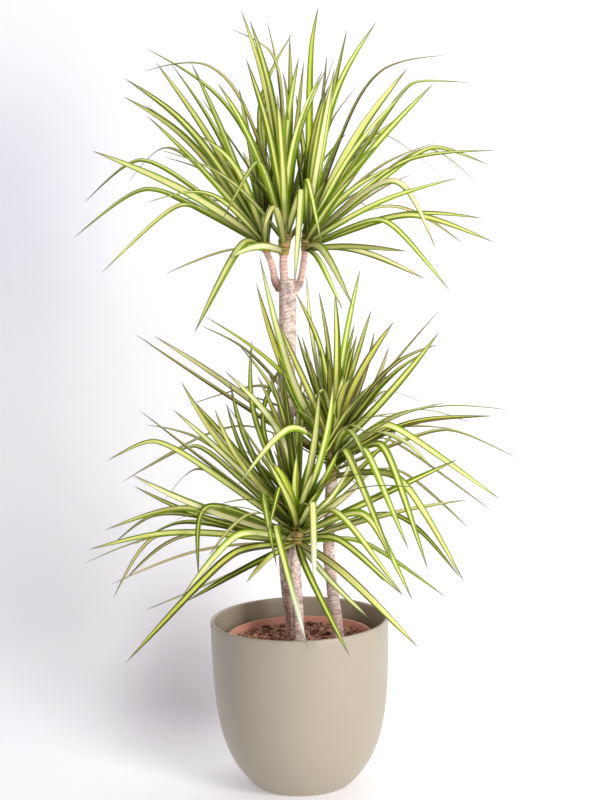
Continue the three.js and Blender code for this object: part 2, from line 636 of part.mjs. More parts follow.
/** How far a leaf is turned from standing, so that a share of its width shows from in front. */
function turnedToShow(curve, side, shown) {
  const { tangent, lying, standing } = crossways(curve, side, LEAF.seenAt);
  const level = new THREE.Vector3(0, 1, 0).cross(tangent).normalize();
  const facing = Math.atan2(lying.dot(level), standing.dot(level));
  const off = Math.acos(Math.min(1, shown));
  const turns = [facing - off, facing + off].flatMap((turn) => [turn - Math.PI, turn, turn + Math.PI]);
  const fromFlat = (turn) => Math.abs(turn - Math.PI / 2);
  return turns.sort((a, b) => fromFlat(a) - fromFlat(b))[0];
}

/** A leaf of a head, with the line that it follows; a leaf whose width isn't seen lies flat. */
function makeLeaf(head, bend, tip, width, fold, isSeen) {
  const root = rootOf(head, bend);
  const softness = LEAF.softening * (LEAF.creased - fold);
  const curve = new LeafLine(root, bend, tip, softness);
  const away = new THREE.Vector2(tip.x + bend.x - 2 * root.x, tip.y + bend.y - 2 * root.y).normalize();
  const side = new THREE.Vector3(-away.y, away.x, 0);
  const wide = LEAF.leastWidth + LEAF.widening * width;
  const flat = isSeen ? turnedToShow(curve, side, (LEAF.turning * width) / wide) : Math.PI / 2;
  return { head, curve, side, wide, flat, fold, points: curve.getPoints(CLEAR.samples) };
}

/** A leaf placed by hand, pushed along the line of sight until it is clear of the other nodes. */
function seenLeaf(row, others) {
  const [headName, bendX, bendZ, bendY, tipX, tipZ, tipY, width, fold] = row;
  const head = HEADS[headName];
  for (let attempt = 0; attempt <= 2 * CLEAR.tries; attempt += 1) {
    const push = CLEAR.step * Math.ceil(attempt / 2) * (attempt % 2 === 0 ? -1 : 1);
    const bend = seen(bendX, bendZ, DEPTH.spread * bendY + push);
    const tip = seen(tipX, tipZ, DEPTH.spread * tipY + DEPTH.tipPush * push);
    const leaf = makeLeaf(head, bend, tip, width, fold, true);
    if (isClear(leaf, others)) {
      return leaf;
    }
  }
  return null;
}

const GOLDEN_ANGLE = Math.PI * (3 - Math.sqrt(5));

/** The i-th leaf of a head's rule: upright at the top of the stem, drooping at its foot. */
function ruleLeaf(head, i) {
  const age = share(i, 0);
  const azimuth = i * GOLDEN_ANGLE + head.turn;
  const lean = degrees(lerp(...RULE.lean, age));
  const droop = degrees(lerp(...RULE.droop, age * age) * lerp(...RULE.droopSpread, share(i, 1)));
  const prime = 1 - RULE.shorter * Math.abs(age - RULE.prime);
  const length = head.reach * lerp(...RULE.length, share(i, 2)) * prime;
  const go = (start, angle, distance) => start.clone().add(new THREE.Vector3(
    Math.sin(angle) * Math.cos(azimuth), Math.sin(angle) * Math.sin(azimuth), Math.cos(angle),
  ).multiplyScalar(distance));
  const bend = go(vector(head.from).lerp(vector(head.to), 0.5), lean, 0.5 * length);
  const tip = go(bend, lean + droop, 0.5 * length);
  return makeLeaf(head, bend, tip, RULE.width, RULE.fold, false);
}

/** Whether a leaf keeps clear of the canes, the pots and the leaves of the other nodes. */
function isClear(leaf, others) {
  const free = leaf.points.slice(Math.ceil(CLEAR.rootShare * CLEAR.samples));
  const awayFromCanes = caneBeads.every((bead) => (
    free.every((point) => point.distanceTo(bead.place) > bead.radius + CLEAR.canes)
  ));
  return awayFromCanes && others.every((other) => leavesApart(leaf, other));
}

function leavesApart(leaf, other) {
  if (leaf.head === other.head) {
    return true;
  }
  return leaf.points.every((point) => (
    other.points.every((place) => point.distanceTo(place) > CLEAR.leaves)
  ));
}

/** Whether a rule's leaf starts off in a direction that no leaf of its head has yet. */
function isNewDirection(leaf, mates) {
  const heading = leaf.points[CLEAR.samples / 2].clone().sub(vector(leaf.head.from)).normalize();
  return mates.every((mate) => {
    const taken = mate.points[CLEAR.samples / 2].clone().sub(vector(mate.head.from)).normalize();
    return heading.angleTo(taken) > CLEAR.apart;
  });
}

function staysOffPots(leaf) {
  return leaf.points.every((point) => (
    point.z > POT_KEEP_OUT.height || Math.hypot(point.x, point.y) > POT_KEEP_OUT.radius
  ));
}

/** Beads along every cane and shoot, which the leaves keep clear of. */
const caneBeads = [
  ...Object.values(CANES).map((cane) => ({ path: cane.axis, radius: cane.radius })),
  ...SHOOTS.map((shoot) => ({ path: shoot.path, radius: shoot.radius })),
].flatMap(({ path, radius }) => {
  const curve = new THREE.CatmullRomCurve3(path.map(vector), false, "centripetal");
  const beads = Math.ceil(curve.getLength() / CANE.beadPitch);
  return curve.getSpacedPoints(beads).map((place) => ({ place, radius }));
});

/** All leaves: first the rows of LEAVES, head by head, then what each head's rule adds. */
function growLeaves() {
  const leaves = [];
  LEAVES.forEach((row) => {
    const leaf = seenLeaf(row, leaves);
    if (leaf) {
      leaves.push(leaf);
    }
  });
  Object.values(HEADS).forEach((head) => {
    let added = 0;
    for (let i = 0; i < RULE.tries * head.more && added < head.more; i += 1) {
      const leaf = ruleLeaf(head, i);
      const mates = leaves.filter((mate) => mate.head === head);
      const turn = i * GOLDEN_ANGLE + head.turn;
      const towardMates = head.shun !== null && Math.cos(turn - head.shun) > RULE.aside;
      if (!towardMates && isNewDirection(leaf, mates) && staysOffPots(leaf) && isClear(leaf, leaves)) {
        leaves.push(leaf);
        added += 1;
      }
    }
  });
  return leaves;
}

/** A leaf's half width at share t of its length: narrow at the root, a long taper to the tip. */
function halfWidth(leaf, t) {
  const grown = Math.min(1, LEAF.rootWidth + LEAF.growth * t);
  return 0.5 * leaf.wide * grown * (1 - t ** LEAF.taper) ** LEAF.fullness;
}

/** Where a blade's rings lie along its leaf: even steps, or close together round a sharp bend. */
function ringShares(leaf) {
  const even = [LEAF.straight, LEAF.curved].find(({ below }) => leaf.fold < below);
  if (even) {
    return Array.from({ length: even.steps }, (_, step) => step / even.steps);
  }
  const { near, far, round } = leaf.curve;
  const { crease } = LEAF;
  const inner = Math.min(crease.near * near, crease.near * far, crease.round * round);
  const outer = crease.outer * inner;
  return [-near, Math.max(-outer, -crease.most * near), -inner, inner, outer, (far + outer) / 2]
    .map((past) => leaf.curve.shareAt(past));
}

/** A leaf's solid: a three-cornered blade with its two edges raised and a keel below. */
function blade(leaf) {
  const rings = ringShares(leaf).map((t) => {
    const place = leaf.curve.getPoint(t);
    const { tangent, lying, standing } = crossways(leaf.curve, leaf.side, t);
    const aside = lying.multiplyScalar(Math.sin(leaf.flat)).addScaledVector(standing, Math.cos(leaf.flat));
    const up = new THREE.Vector3().crossVectors(aside, tangent);
    const half = halfWidth(leaf, t);
    return [
      place.clone().addScaledVector(aside, -half).addScaledVector(up, LEAF.edgeRise),
      place.clone().addScaledVector(aside, half).addScaledVector(up, LEAF.edgeRise),
      place.clone().addScaledVector(up, -LEAF.keel),
    ];
  });
  return loft([...rings, [leaf.curve.getPoint(1)]]);
}

/** The slim stem of a head, which its leaves' roots sink into. */
function headCore(head) {
  const foot = vector(head.from).add(new THREE.Vector3(0, 0, GAP));
  const tip = vector(head.to);
  const { shape, sides } = HEAD_CORE;
  const rings = shape.map((radius, i) => (
    levelRing(foot.clone().lerp(tip, i / shape.length), radius * head.core, sides)
  ));
  rings.push([tip]);
  return loft(rings);
}

/** A head's leaves, fused with the stem that their roots sink into, and cut clear of all canes. */
function headOfLeaves(head, leaves) {
  const blades = leaves.filter((leaf) => leaf.head === head).map(blade);
  const tubes = [
    ...Object.values(CANES).map((cane) => caneTube(cane, GAP)),
    ...SHOOTS.map((shoot) => shootTube(shoot, GAP)),
  ];
  const grown = wasm.Manifold.union([headCore(head), ...blades].map(toSolid));
  return toGeometry(mainBody(grown.subtract(wasm.Manifold.union(tubes.map(toSolid)))));
}

// ---------------------------------------------------------------------------------------------
// The part
// ---------------------------------------------------------------------------------------------

const group = new THREE.Group();
const leaves = growLeaves();
group.add(
  named("cover_pot", coverPot(), FINISHES.glazedStone),
  named("nursery_pot", nurseryPot(), FINISHES.terracottaPlastic),
  named("soil", soil(), FINISHES.soil),
  named("tall_cane", tallCane(), FINISHES.bark),
  named("front_cane", caneTube(CANES.front_cane), FINISHES.bark),
  named("right_cane", caneTube(CANES.right_cane), FINISHES.bark),
  ...Object.values(HEADS).map((head) => named(head.node, headOfLeaves(head, leaves), FINISHES.leaf)),
);

export default group;
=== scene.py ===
"""A potted dracaena: striped leaves on three canes, in a nursery pot inside a ceramic cover pot.

The frame's solids are replaced by finer pieces of the same form. Sizes are in millimetres and
turned to metres as a mesh is made. +Z is up, and the side that the photo shows faces -Y.
"""

from __future__ import annotations

import logging
import math
import random
from dataclasses import dataclass, field
from enum import Enum
from typing import Callable, Sequence

import bmesh
import bpy
import numpy as np
from mathutils import Euler, Matrix, Vector, noise

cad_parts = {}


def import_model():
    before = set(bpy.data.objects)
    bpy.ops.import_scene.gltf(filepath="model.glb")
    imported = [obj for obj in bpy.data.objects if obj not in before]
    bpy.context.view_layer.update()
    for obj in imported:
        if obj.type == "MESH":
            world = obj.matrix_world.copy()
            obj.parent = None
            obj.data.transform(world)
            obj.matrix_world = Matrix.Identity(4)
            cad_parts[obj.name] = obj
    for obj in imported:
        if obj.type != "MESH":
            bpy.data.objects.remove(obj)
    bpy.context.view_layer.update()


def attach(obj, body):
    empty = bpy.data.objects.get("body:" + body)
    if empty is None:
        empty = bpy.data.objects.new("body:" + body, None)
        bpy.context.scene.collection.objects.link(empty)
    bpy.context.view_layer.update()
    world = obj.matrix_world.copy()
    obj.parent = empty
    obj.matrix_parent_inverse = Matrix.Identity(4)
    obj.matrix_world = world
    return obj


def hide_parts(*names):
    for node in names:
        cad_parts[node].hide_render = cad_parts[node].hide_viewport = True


LOG = logging.getLogger("potted_dracaena")

MM = 0.001
GAP = 0.3
BODY = "root"
FULL_TURN = 2 * math.pi
GOLDEN_ANGLE = math.pi * (3 - math.sqrt(5))
SEAM_MERGE = 1e-7
SPIN_MERGE = 1e-6
Mesh = bmesh.types.BMesh
Point = bmesh.types.BMVert
Piece = bpy.types.Object
Material = bpy.types.Material
Node = bpy.types.Node
Socket = bpy.types.NodeSocket
Value = Socket | float
Array = np.ndarray
Values = Array | float
Span = tuple[float, float]
Colour = tuple[float, float, float, float]
Place = tuple[float, float, float]


# ---- Sizes -------------------------------------------------------


class Tone(Enum):
    """How a leaf is coloured: its values are paleness, greenness, bleached tip, dryness, band width."""

    STRIPED = (0.45, 0.35, 0.0, 0.0, 0.42)
    CREAM = (0.95, 0.30, 0.0, 0.05, 0.54)
    YELLOW = (0.60, 0.20, 0.0, 0.0, 0.52)
    PALE = (0.75, 0.05, 0.1, 0.0, 0.52)
    LIME = (0.10, 0.00, 0.0, 0.0, 0.55)
    GREEN = (0.25, 0.65, 0.0, 0.0, 0.30)
    DARK = (0.15, 1.00, 0.0, 0.0, 0.16)
    OLIVE = (0.20, 0.75, 0.0, 0.2, 0.46)
    DRY = (0.70, 0.50, 0.0, 0.65, 0.55)
    BLEACHED = (0.60, 0.20, 1.0, 0.0, 0.50)
    FAINT = (0.45, 0.80, 0.0, 0.25, 0.35)
    BROAD = (0.00, 0.45, 0.0, 0.0, 0.42)


# Each leaf that shows plainly, under its head: where it bends (x, z, depth), its tip (x, z, depth),
# the width it shows, how sharply it folds there, from 0.6 for one long curve to 0.9 for a crease, and
# its tone. Rows end early where the fold is 0.6 or the tone is striped.
LEAVES = [
    ("left", [
        (-160, 937, -15, -299, 1001, -30, 10, 0.66, "yellow"), (-225, 985, 15, -313, 921, 25, 6, 0.8),
        (-186, 1003, 70, -245, 949, 90, 4, 0.72, "faint"), (-217, 941, 25, -331, 868, 20, 6, 0.82),
        (-162, 916, 20, -292, 812, 10, 6, 0.85), (-130, 934, -60, -219, 919, -90, 6, 0.7),
        (-135, 906, 60, -198, 937, 90, 5, 0.6, "faint"), (-96, 845, 90, -193, 810, 130, 4, 0.6, "faint"),
        (-120, 962, 80, -190, 988, 110, 4, 0.6, "faint"), (-165, 1026, -10, -248, 1081, -20, 8, 0.66),
        (-160, 1043, -30, -245, 1108, -40, 10, 0.66), (-150, 1015, 40, -216, 1068, 60, 7),
        (-150, 990, -50, -213, 1052, -60, 8), (-130, 1035, 10, -197, 1132, 20, 8),
        (-115, 1040, 50, -173, 1128, 70, 6), (-106, 1045, -40, -143, 1130, -50, 8, 0.7),
        (-90, 985, -70, -135, 1020, -100, 9), (-69, 856, -40, -152, 716, -60, 10, 0.75, "yellow"),
    ]),
    ("middle", [
        (-58, 848, -75, -95, 832, -110, 10, 0.6, "cream"), (-97, 1072, 30, -212, 1152, 40, 6, 0.66),
        (-115, 1124, 20, -217, 1116, 30, 4, 0.62, "faint"), (-70, 1042, -60, -104, 1098, -80, 9),
        (-36, 1110, 15, -66, 1207, 20, 7), (-24, 1085, -30, -53, 1192, -40, 10),
        (-11, 1110, 30, -27, 1190, 30, 5, 0.6, "faint"), (-21, 1141, 25, -84, 1178, 20, 4, 0.75, "faint"),
        (-40, 1060, 50, 14, 1172, 60, 6, 0.7), (6, 1070, 60, 7, 1167, 70, 7),
        (-32, 1040, -70, -60, 1134, -90, 10), (-8, 990, -90, -14, 1080, -120, 9),
        (3, 1050, -60, 21, 1134, -75, 9), (17, 1050, 80, 28, 1128, 90, 7),
    ]),
    ("right", [
        (40, 1150, -25, 52, 1209, -25, 9, 0.75, "broad"),
    ]),
    ("middle", [
        (19, 934, -60, 5, 786, -80, 9, 0.9, "pale"), (-47, 978, -85, -104, 888, -110, 7, 0.85),
        (21, 1029, -40, 60, 1112, -55, 7), (15, 1024, -60, 58, 1115, -80, 8, 0.6, "pale"),
        (2, 1068, 60, -5, 1113, 70, 7, 0.6, "yellow"),
    ]),
    ("right", [
        (52, 1050, 70, 63, 1136, 90, 5, 0.6, "faint"), (66, 1060, 35, 95, 1176, 40, 7, 0.66),
        (80, 1090, -20, 140, 1184, -25, 9, 0.66), (67, 1036, 90, 110, 1090, 110, 5, 0.75, "faint"),
        (144, 1110, 15, 244, 1130, 20, 4, 0.7, "faint"), (113, 1024, -20, 186, 1114, -25, 12, 0.6, "yellow"),
        (191, 1090, 20, 281, 1088, 25, 6, 0.85), (130, 995, -10, 226, 1091, -10, 9),
        (105, 985, 60, 172, 1040, 100, 7), (134, 1016, 60, 240, 944, 80, 4, 0.8, "faint"),
        (220, 993, 0, 308, 963, 0, 7, 0.82), (215, 991, 40, 294, 930, 50, 5, 0.78, "faint"),
        (140, 967, 80, 225, 1000, 110, 4, 0.6, "faint"), (182, 975, -10, 322, 986, -15, 6, 0.8),
        (85, 945, -70, 135, 998, -100, 10), (100, 935, -90, 168, 970, -130, 8),
        (75, 925, -90, 108, 960, -130, 9), (135, 930, 100, 188, 953, 150, 4, 0.6, "faint"),
        (150, 917, -50, 260, 946, -70, 7, 0.66), (165, 943, -50, 224, 835, -60, 8, 0.76, "cream"),
        (186, 892, -20, 316, 845, -20, 8, 0.82), (181, 894, 30, 298, 883, 30, 6, 0.7),
        (160, 906, 60, 267, 844, 70, 4, 0.7, "faint"), (143, 885, -30, 246, 771, -40, 7, 0.85),
        (100, 846, -90, 180, 836, -150, 7, 0.66), (100, 841, -60, 208, 792, -90, 8, 0.66, "cream"),
        (49, 843, -80, 95, 752, -130, 10, 0.75, "yellow"), (42, 830, -40, 79, 747, -60, 7, 0.7),
        (29, 950, -85, 49, 847, -100, 7, 0.86), (45, 1010, -60, 62, 1085, -80, 9),
        (52, 990, -50, 72, 1090, -70, 8), (42, 1025, -45, 66, 1091, -55, 9, 0.6, "green"),
        (51, 1010, -75, 75, 1118, -90, 8, 0.6, "cream"), (24, 1000, 60, 14, 1080, 80, 7, 0.6, "green"),
    ]),
    ("front", [
        (14, 342, -95, 79, 198, -160, 8, 0.75, "green"), (-32, 412, -80, 13, 210, -158, 8, 0.88, "bleached"),
        (60, 345, -60, 188, 210, -75, 10, 0.7, "yellow"), (45, 330, -30, 109, 262, -25, 7, 0.7, "cream"),
        (-42, 366, -50, -82, 323, -70, 6, 0.75), (-95, 341, -20, -175, 296, -30, 7, 0.6, "dark"),
        (-96, 373, -45, -278, 196, -70, 9, 0.82, "green"),
        (-91, 401, -60, -184, 303, -90, 9, 0.83, "yellow"),
        (-143, 444, -30, -156, 330, -50, 8, 0.78, "green"),
        (-174, 457, -20, -255, 500, -30, 10, 0.6, "cream"), (-175, 442, 40, -253, 482, 60, 6),
        (-179, 445, 10, -302, 412, 15, 8, 0.75), (-223, 435, 60, -292, 386, 70, 5, 0.72, "faint"),
        (-206, 406, -10, -328, 382, -10, 9, 0.7), (-187, 422, 70, -255, 388, 90, 6, 0.75),
        (-224, 400, 50, -335, 360, 60, 4, 0.7, "faint"), (-224, 400, 30, -293, 300, 40, 5, 0.78, "faint"),
        (-190, 397, 60, -272, 332, 90, 5, 0.7, "faint"), (-156, 377, 20, -295, 325, 20, 5, 0.7, "dry"),
        (-150, 320, 90, -244, 282, 120, 4, 0.7, "faint"), (-219, 552, 0, -295, 521, 5, 7, 0.8),
    ]),
    ("back", [
        (-79, 573, 40, -274, 486, 60, 4, 0.75, "faint"),
    ]),
    ("front", [
        (-154, 543, 60, -246, 502, 80, 6, 0.85), (-191, 561, 30, -240, 601, 40, 4, 0.7, "faint"),
        (-153, 557, 90, -233, 578, 110, 4, 0.62, "faint"), (-120, 537, -20, -188, 601, -30, 9, 0.6, "cream"),
        (-125, 560, -10, -174, 645, -20, 9), (-112, 560, 30, -160, 618, 50, 8),
        (-92, 527, -40, -123, 600, -60, 8, 0.6, "olive"), (-78, 525, 60, -105, 610, 90, 6, 0.6, "green"),
        (-75, 548, 20, -98, 640, 30, 8), (-154, 507, 60, -211, 450, 80, 5, 0.75, "faint"),
        (-51, 465, -70, -33, 347, -95, 8, 0.88, "green"), (25, 449, -80, 25, 301, -100, 9, 0.9, "bleached"),
        (-48, 590, 0, -6, 682, 20, 6, 0.7, "green"), (28, 530, -50, 40, 630, -60, 10, 0.6, "yellow"),
        (46, 540, -60, 62, 640, -80, 9), (-64, 602, -10, -62, 708, 0, 7, 0.72, "green"),
        (-18, 488, -95, -37, 515, -130, 10, 0.6, "lime"), (150, 466, -30, 254, 512, -40, 9),
        (184, 436, 10, 269, 447, 20, 5, 0.65, "faint"), (101, 430, -40, 180, 285, -50, 9, 0.82),
        (57, 436, -80, 166, 293, -120, 8, 0.82), (59, 392, -50, 163, 297, -80, 8, 0.8),
        (92, 388, -10, 234, 290, -10, 7, 0.78), (155, 426, 40, 256, 320, 50, 7, 0.78, "dark"),
        (64, 386, 10, 136, 318, 40, 5, 0.78, "dry"), (100, 500, 30, 166, 568, 50, 7),
    ]),
    ("back", [
        (-90, 612, 60, -243, 720, 70, 5, 0.6, "faint"), (-133, 662, 70, -215, 717, 90, 7, 0.65, "cream"),
    ]),
    ("front", [
        (-19, 550, -30, -107, 660, -40, 10, 0.62, "cream"), (-2, 480, -60, 3, 528, -85, 8),
        (-25, 476, -95, -46, 400, -135, 7, 0.88, "green"), (-13, 458, -90, -50, 530, -120, 8, 0.62),
        (40, 476, -50, 69, 534, -60, 10, 0.6, "green"), (54, 456, -35, 95, 531, -45, 7, 0.6, "cream"),
        (66, 450, -10, 122, 501, -10, 8, 0.6, "cream"), (5, 578, 0, 14, 653, 10, 8, 0.6, "pale"),
        (9, 548, 20, 17, 633, 40, 6, 0.6, "pale"), (-6, 566, -20, -26, 668, -20, 8, 0.6, "yellow"),
        (-22, 567, -30, -56, 652, -40, 8, 0.6, "olive"), (-13, 570, -50, -40, 661, -60, 7, 0.6, "green"),
        (-10, 590, -55, -17, 662, -66, 9, 0.6, "dark"),
    ]),
    ("back", [
        (8, 598, -16, -22, 680, -24, 9, 0.6, "green"),
    ]),
    ("front", [
        (-24, 612, 0, -82, 697, 10, 6, 0.62), (53, 544, -50, 93, 610, -60, 8, 0.6, "olive"),
    ]),
    ("back", [
        (-80, 598, -50, -146, 650, -70, 7, 0.6, "dry"), (-30, 668, -58, -137, 746, -72, 7, 0.65, "lime"),
        (-75, 694, 60, -142, 730, 80, 4, 0.7, "faint"), (-2, 632, -25, -54, 796, -30, 9, 0.62, "olive"),
        (12, 608, -40, -48, 838, -50, 10, 0.62, "pale"), (30, 608, -50, -24, 738, -70, 9, 0.62, "olive"),
        (22, 667, 60, 7, 715, 90, 7), (34, 640, 70, 14, 712, 110, 5, 0.6, "faint"),
        (56, 690, 0, 42, 780, 0, 6), (32, 700, 50, 24, 805, 60, 5, 0.6, "cream"),
        (42, 695, 30, 5, 780, 30, 7, 0.65, "green"), (69, 690, -30, 67, 778, -40, 10),
        (82, 705, 10, 107, 812, 10, 8), (96, 670, 20, 123, 749, 30, 7),
        (112, 655, 80, 127, 716, 110, 5, 0.6, "faint"), (109, 660, -20, 158, 730, -30, 11, 0.6, "olive"),
        (125, 630, 70, 149, 692, 100, 7, 0.6, "dry"), (140, 646, 90, 229, 746, 120, 4, 0.6, "faint"),
        (152, 622, -20, 228, 713, -30, 10), (159, 665, 30, 226, 692, 40, 5, 0.6, "faint"),
        (138, 621, 80, 201, 601, 110, 4, 0.8, "faint"), (140, 575, 100, 235, 601, 140, 4, 0.6, "faint"),
        (173, 569, 20, 312, 578, 30, 7, 0.75, "dark"), (140, 562, 80, 245, 560, 120, 4, 0.7, "faint"),
        (142, 569, 0, 322, 443, 0, 8, 0.86), (236, 559, 40, 346, 510, 50, 4, 0.82, "faint"),
        (133, 538, -50, 205, 332, -70, 10, 0.85), (78, 531, -70, 150, 350, -100, 10, 0.87),
        (107, 531, -30, 175, 366, -40, 9, 0.87), (156, 487, -20, 262, 312, -30, 9, 0.82),
        (156, 498, 50, 270, 400, 70, 4, 0.8, "faint"), (137, 548, 60, 309, 425, 70, 4, 0.84, "faint"),
        (-8, 566, -62, -92, 476, -76, 9, 0.75, "yellow"), (8, 542, -58, -75, 490, -70, 9, 0.75, "dry"),
        (45, 626, -20, 16, 592, -40, 7, 0.8, "cream"), (-44, 634, 90, -170, 605, 110, 4, 0.85, "faint"),
        (154, 648, 10, 206, 682, 20, 7),
    ]),
]

# The places above are where the leaves are seen on the upright plane through the pot's axis by an
# eye this far in front of it, this far right and this high. A place at another depth slides along
# that sight line.
EYE_DISTANCE = 2800.0
EYE_X = 9.5
EYE_HEIGHT = 994.0


@dataclass(frozen=True)
class CaneSize:
    """A cane: the places its axis goes through, its radii, and the pitch of its leaf scars."""

    axis: tuple[Place, ...]
    radius: float
    foot_radius: float
    pitch: float
    seed: float


@dataclass(frozen=True)
class ShootSize:
    """A shoot of the tall cane, with its swollen collar's radius and how dark that is."""

    path: tuple[Place, ...]
    radius: float
    collar: float
    shade: float = 0.25


@dataclass(frozen=True)
class HeadSize:
    """A head of leaves: its stem's foot, top and core radius, and the leaves beside the placed ones.

    There are up to this many more by rule, inner and dried ones. The rule's first leaf has this
    turn, and its leaves vary round this reach and shun the side where another head stands.
    """

    node: str
    foot: Place
    top: Place
    core: float
    more: int
    turn: float
    reach: float
    shun: float | None = None
    inner: int = 16
    dried: int = 0

    def stem_at(self, share: float) -> Array:
        """The place at a share of the stem's height."""
        return lerp(np.array(self.foot, float), np.array(self.top, float), share)


CANES = {
    "tall_cane": CaneSize(
        ((-6, 12, 130), (-8, 14, 240), (-14, 18, 300), (-17, 21, 370), (-15, 22, 500),
         (-12, 20, 620), (-7, 16, 720), (-5, 14, 797)), 13.5, 12.6, 10.5, 1.0),
    "front_cane": CaneSize(
        ((0, -25, 140), (-1, -25, 240), (-2, -26, 300), (-4, -26, 350), (0, -26, 388)),
        8.2, 9.2, 7.0, 5.0),
    "right_cane": CaneSize(
        ((62, 2, 140), (60, 3, 240), (54, 5, 300), (49, 8, 370), (52, 12, 430), (56, 14, 480)),
        9.0, 9.4, 7.5, 9.0),
}
SHOOTS = (
    ShootSize(((-14, 14, 778), (-23, 15, 792), (-29, 16, 820), (-36, 17, 838)), 5.4, 9.0, 0.8),
    ShootSize(((-7, 12, 780), (-10, 9, 800), (-11, 8, 818), (-10, 7, 834)), 6.4, 8.0),
    ShootSize(((2, 12, 776), (13, 11, 790), (19, 9, 815), (23, 8, 840)), 5.2, 8.5),
)
HEADS = {
    "left": HeadSize("left_head_leaves", (-36, 17, 838), (-45, 15, 893), 6, 14, 2.1, 270, 0.0),
    "middle": HeadSize("middle_head_leaves", (-10, 7, 834), (-3, 5, 905), 7.2, 16, 0.4, 285),
    "right": HeadSize("right_head_leaves", (23, 8, 840), (31, 7, 895), 6, 13, 1.2, 270, math.pi),
    "front": HeadSize("front_cane_leaves", (0, -26, 388), (2, -30, 462), 8.2, 12, 0.9, 265, None, 34, 9),
    "back": HeadSize("right_cane_leaves", (56, 14, 480), (62, 18, 590), 8.2, 10, 2.6, 275, None, 34, 5),
}


# ---- Curves and shares -------------------------------------------

# Strides that never fall in step: steps of any of them, past whole numbers, spread out evenly.
STRIDES = (0.7548776662, 0.569840291, 0.6180339887)


def lerp(start: float, end: float, share: float) -> float:
    """A value between two others, at a share of the way."""
    return start + (end - start) * share


def clamp(value: float, low: float, high: float) -> float:
    """The value, kept between low and high."""
    return max(low, min(high, value))


def unit(vector: Array) -> Array:
    """The vector at length one."""
    return vector / np.linalg.norm(vector)


def even_share(number: int, kind: int) -> float:
    """One of an even spread of shares between 0 and 1, by its number and the stride's kind."""
    return (0.5 + number * STRIDES[kind]) % 1


def slanted(azimuth: float, lean: float) -> Array:
    """The direction that leans off upright toward an azimuth, both in radians."""
    level = math.sin(lean)
    return np.array([level * math.cos(azimuth), level * math.sin(azimuth), math.cos(lean)])


def round_place(centre: Sequence[float], radius: float, angle: float) -> Place:
    """The place at a radius and an angle round a centre, level with it."""
    return centre[0] + radius * math.cos(angle), centre[1] + radius * math.sin(angle), centre[2]


def around_noise(angle: float, spread: float, along: float) -> float:
    """Smooth noise on a tube: the wider the spread, the more lumps there are round it."""
    return noise.noise(Vector((math.cos(angle) * spread, math.sin(angle) * spread, along)))


class Spline:
    """A smooth curve through places, even in speed as its stretches' roots are (centripetal)."""

    STEPS = 200

    def __init__(self, places: Sequence[Place]) -> None:
        """Keeps the places and measures the curve.

        Args:
            places: The places that the curve goes through.
        """
        knots = [np.array(place, float) for place in places]
        self.knots = [2 * knots[0] - knots[1], *knots, 2 * knots[-1] - knots[-2]]
        line = np.array([self.point(step / self.STEPS) for step in range(self.STEPS + 1)])
        steps = np.linalg.norm(np.diff(line, axis=0), axis=1)
        self.reach = np.concatenate([[0.0], np.cumsum(steps)])
        self.length = float(self.reach[-1])

    def point(self, share: float) -> Array:
        """The place at a share of the curve's stretches."""
        stretches = len(self.knots) - 3
        first = min(int(share * stretches), stretches - 1)
        weight = share * stretches - first
        p0, p1, p2, p3 = self.knots[first:first + 4]
        d0, d1, d2 = (np.linalg.norm(b - a) ** 0.5 for a, b in ((p0, p1), (p1, p2), (p2, p3)))
        out = ((p1 - p0) / d0 - (p2 - p0) / (d0 + d1) + (p2 - p1) / d1) * d1
        into = ((p2 - p1) / d1 - (p3 - p1) / (d1 + d2) + (p3 - p2) / d2) * d1
        cubic = 2 * p1 - 2 * p2 + out + into
        square = 3 * (p2 - p1) - 2 * out - into
        return p1 + weight * (out + weight * (square + weight * cubic))

    def along(self, share: float) -> Array:
        """The place at a share of the curve's length."""
        even = np.linspace(0, 1, self.STEPS + 1)
        return self.point(float(np.interp(share * self.length, self.reach, even)))


class LeafLine:
    """A leaf's line from root through bend to tip: a hyperbola, nearly straight at both ends."""

    STEP = 1e-4

    def __init__(self, root: Array, bend: Array, tip: Array, softness: float) -> None:
        """Finds the corner that the line turns round.

        Args:
            root: Where the leaf leaves its stem.
            bend: Where it bends.
            tip: Its tip.
            softness: The turn's length as a share of the shorter end's.
        """
        self.near = float(np.linalg.norm(bend - root))
        self.far = float(np.linalg.norm(tip - bend))
        self.round = softness * min(self.near, self.far)
        to_root = self.pull(0.0, self.far, self.near)
        to_tip = self.pull(0.0, self.near, self.far)
        self.corner = (bend - to_root * root - to_tip * tip) / (1 - to_root - to_tip)
        self.to_root = root - self.corner
        self.to_tip = tip - self.corner

    def pull(self, distance: Values, before: float, after: float) -> Values:
        """How far toward one end the line has gone, at distances past the bend.

        Args:
            distance: The distances past the bend, toward that end.
            before: How far the line comes from on the other side, where this is 0.
            after: How far it goes, where this is 1.

        Returns:
            The share or shares.
        """
        def ramp(along: Values) -> Values:
            """A share that starts and ends softly round the bend."""
            return (along + np.hypot(along, self.round)) / 2
        return (ramp(distance) - ramp(-before)) / (ramp(after) - ramp(-before))

    def places(self, shares: Array) -> Array:
        """The places at shares of the length, one a row."""
        past = lerp(-self.near, self.far, np.asarray(shares, float))
        back = self.pull(-past, self.far, self.near)[:, None]
        on = self.pull(past, self.near, self.far)[:, None]
        return self.corner + back * self.to_root + on * self.to_tip

    def tangents(self, shares: Array) -> Array:
        """The line's directions at shares of the length, one a row."""
        ahead = self.places(np.clip(shares + self.STEP, 0, 1))
        behind = self.places(np.clip(shares - self.STEP, 0, 1))
        return (ahead - behind) / np.linalg.norm(ahead - behind, axis=1)[:, None]


# ---- How the leaves grow -----------------------------------------


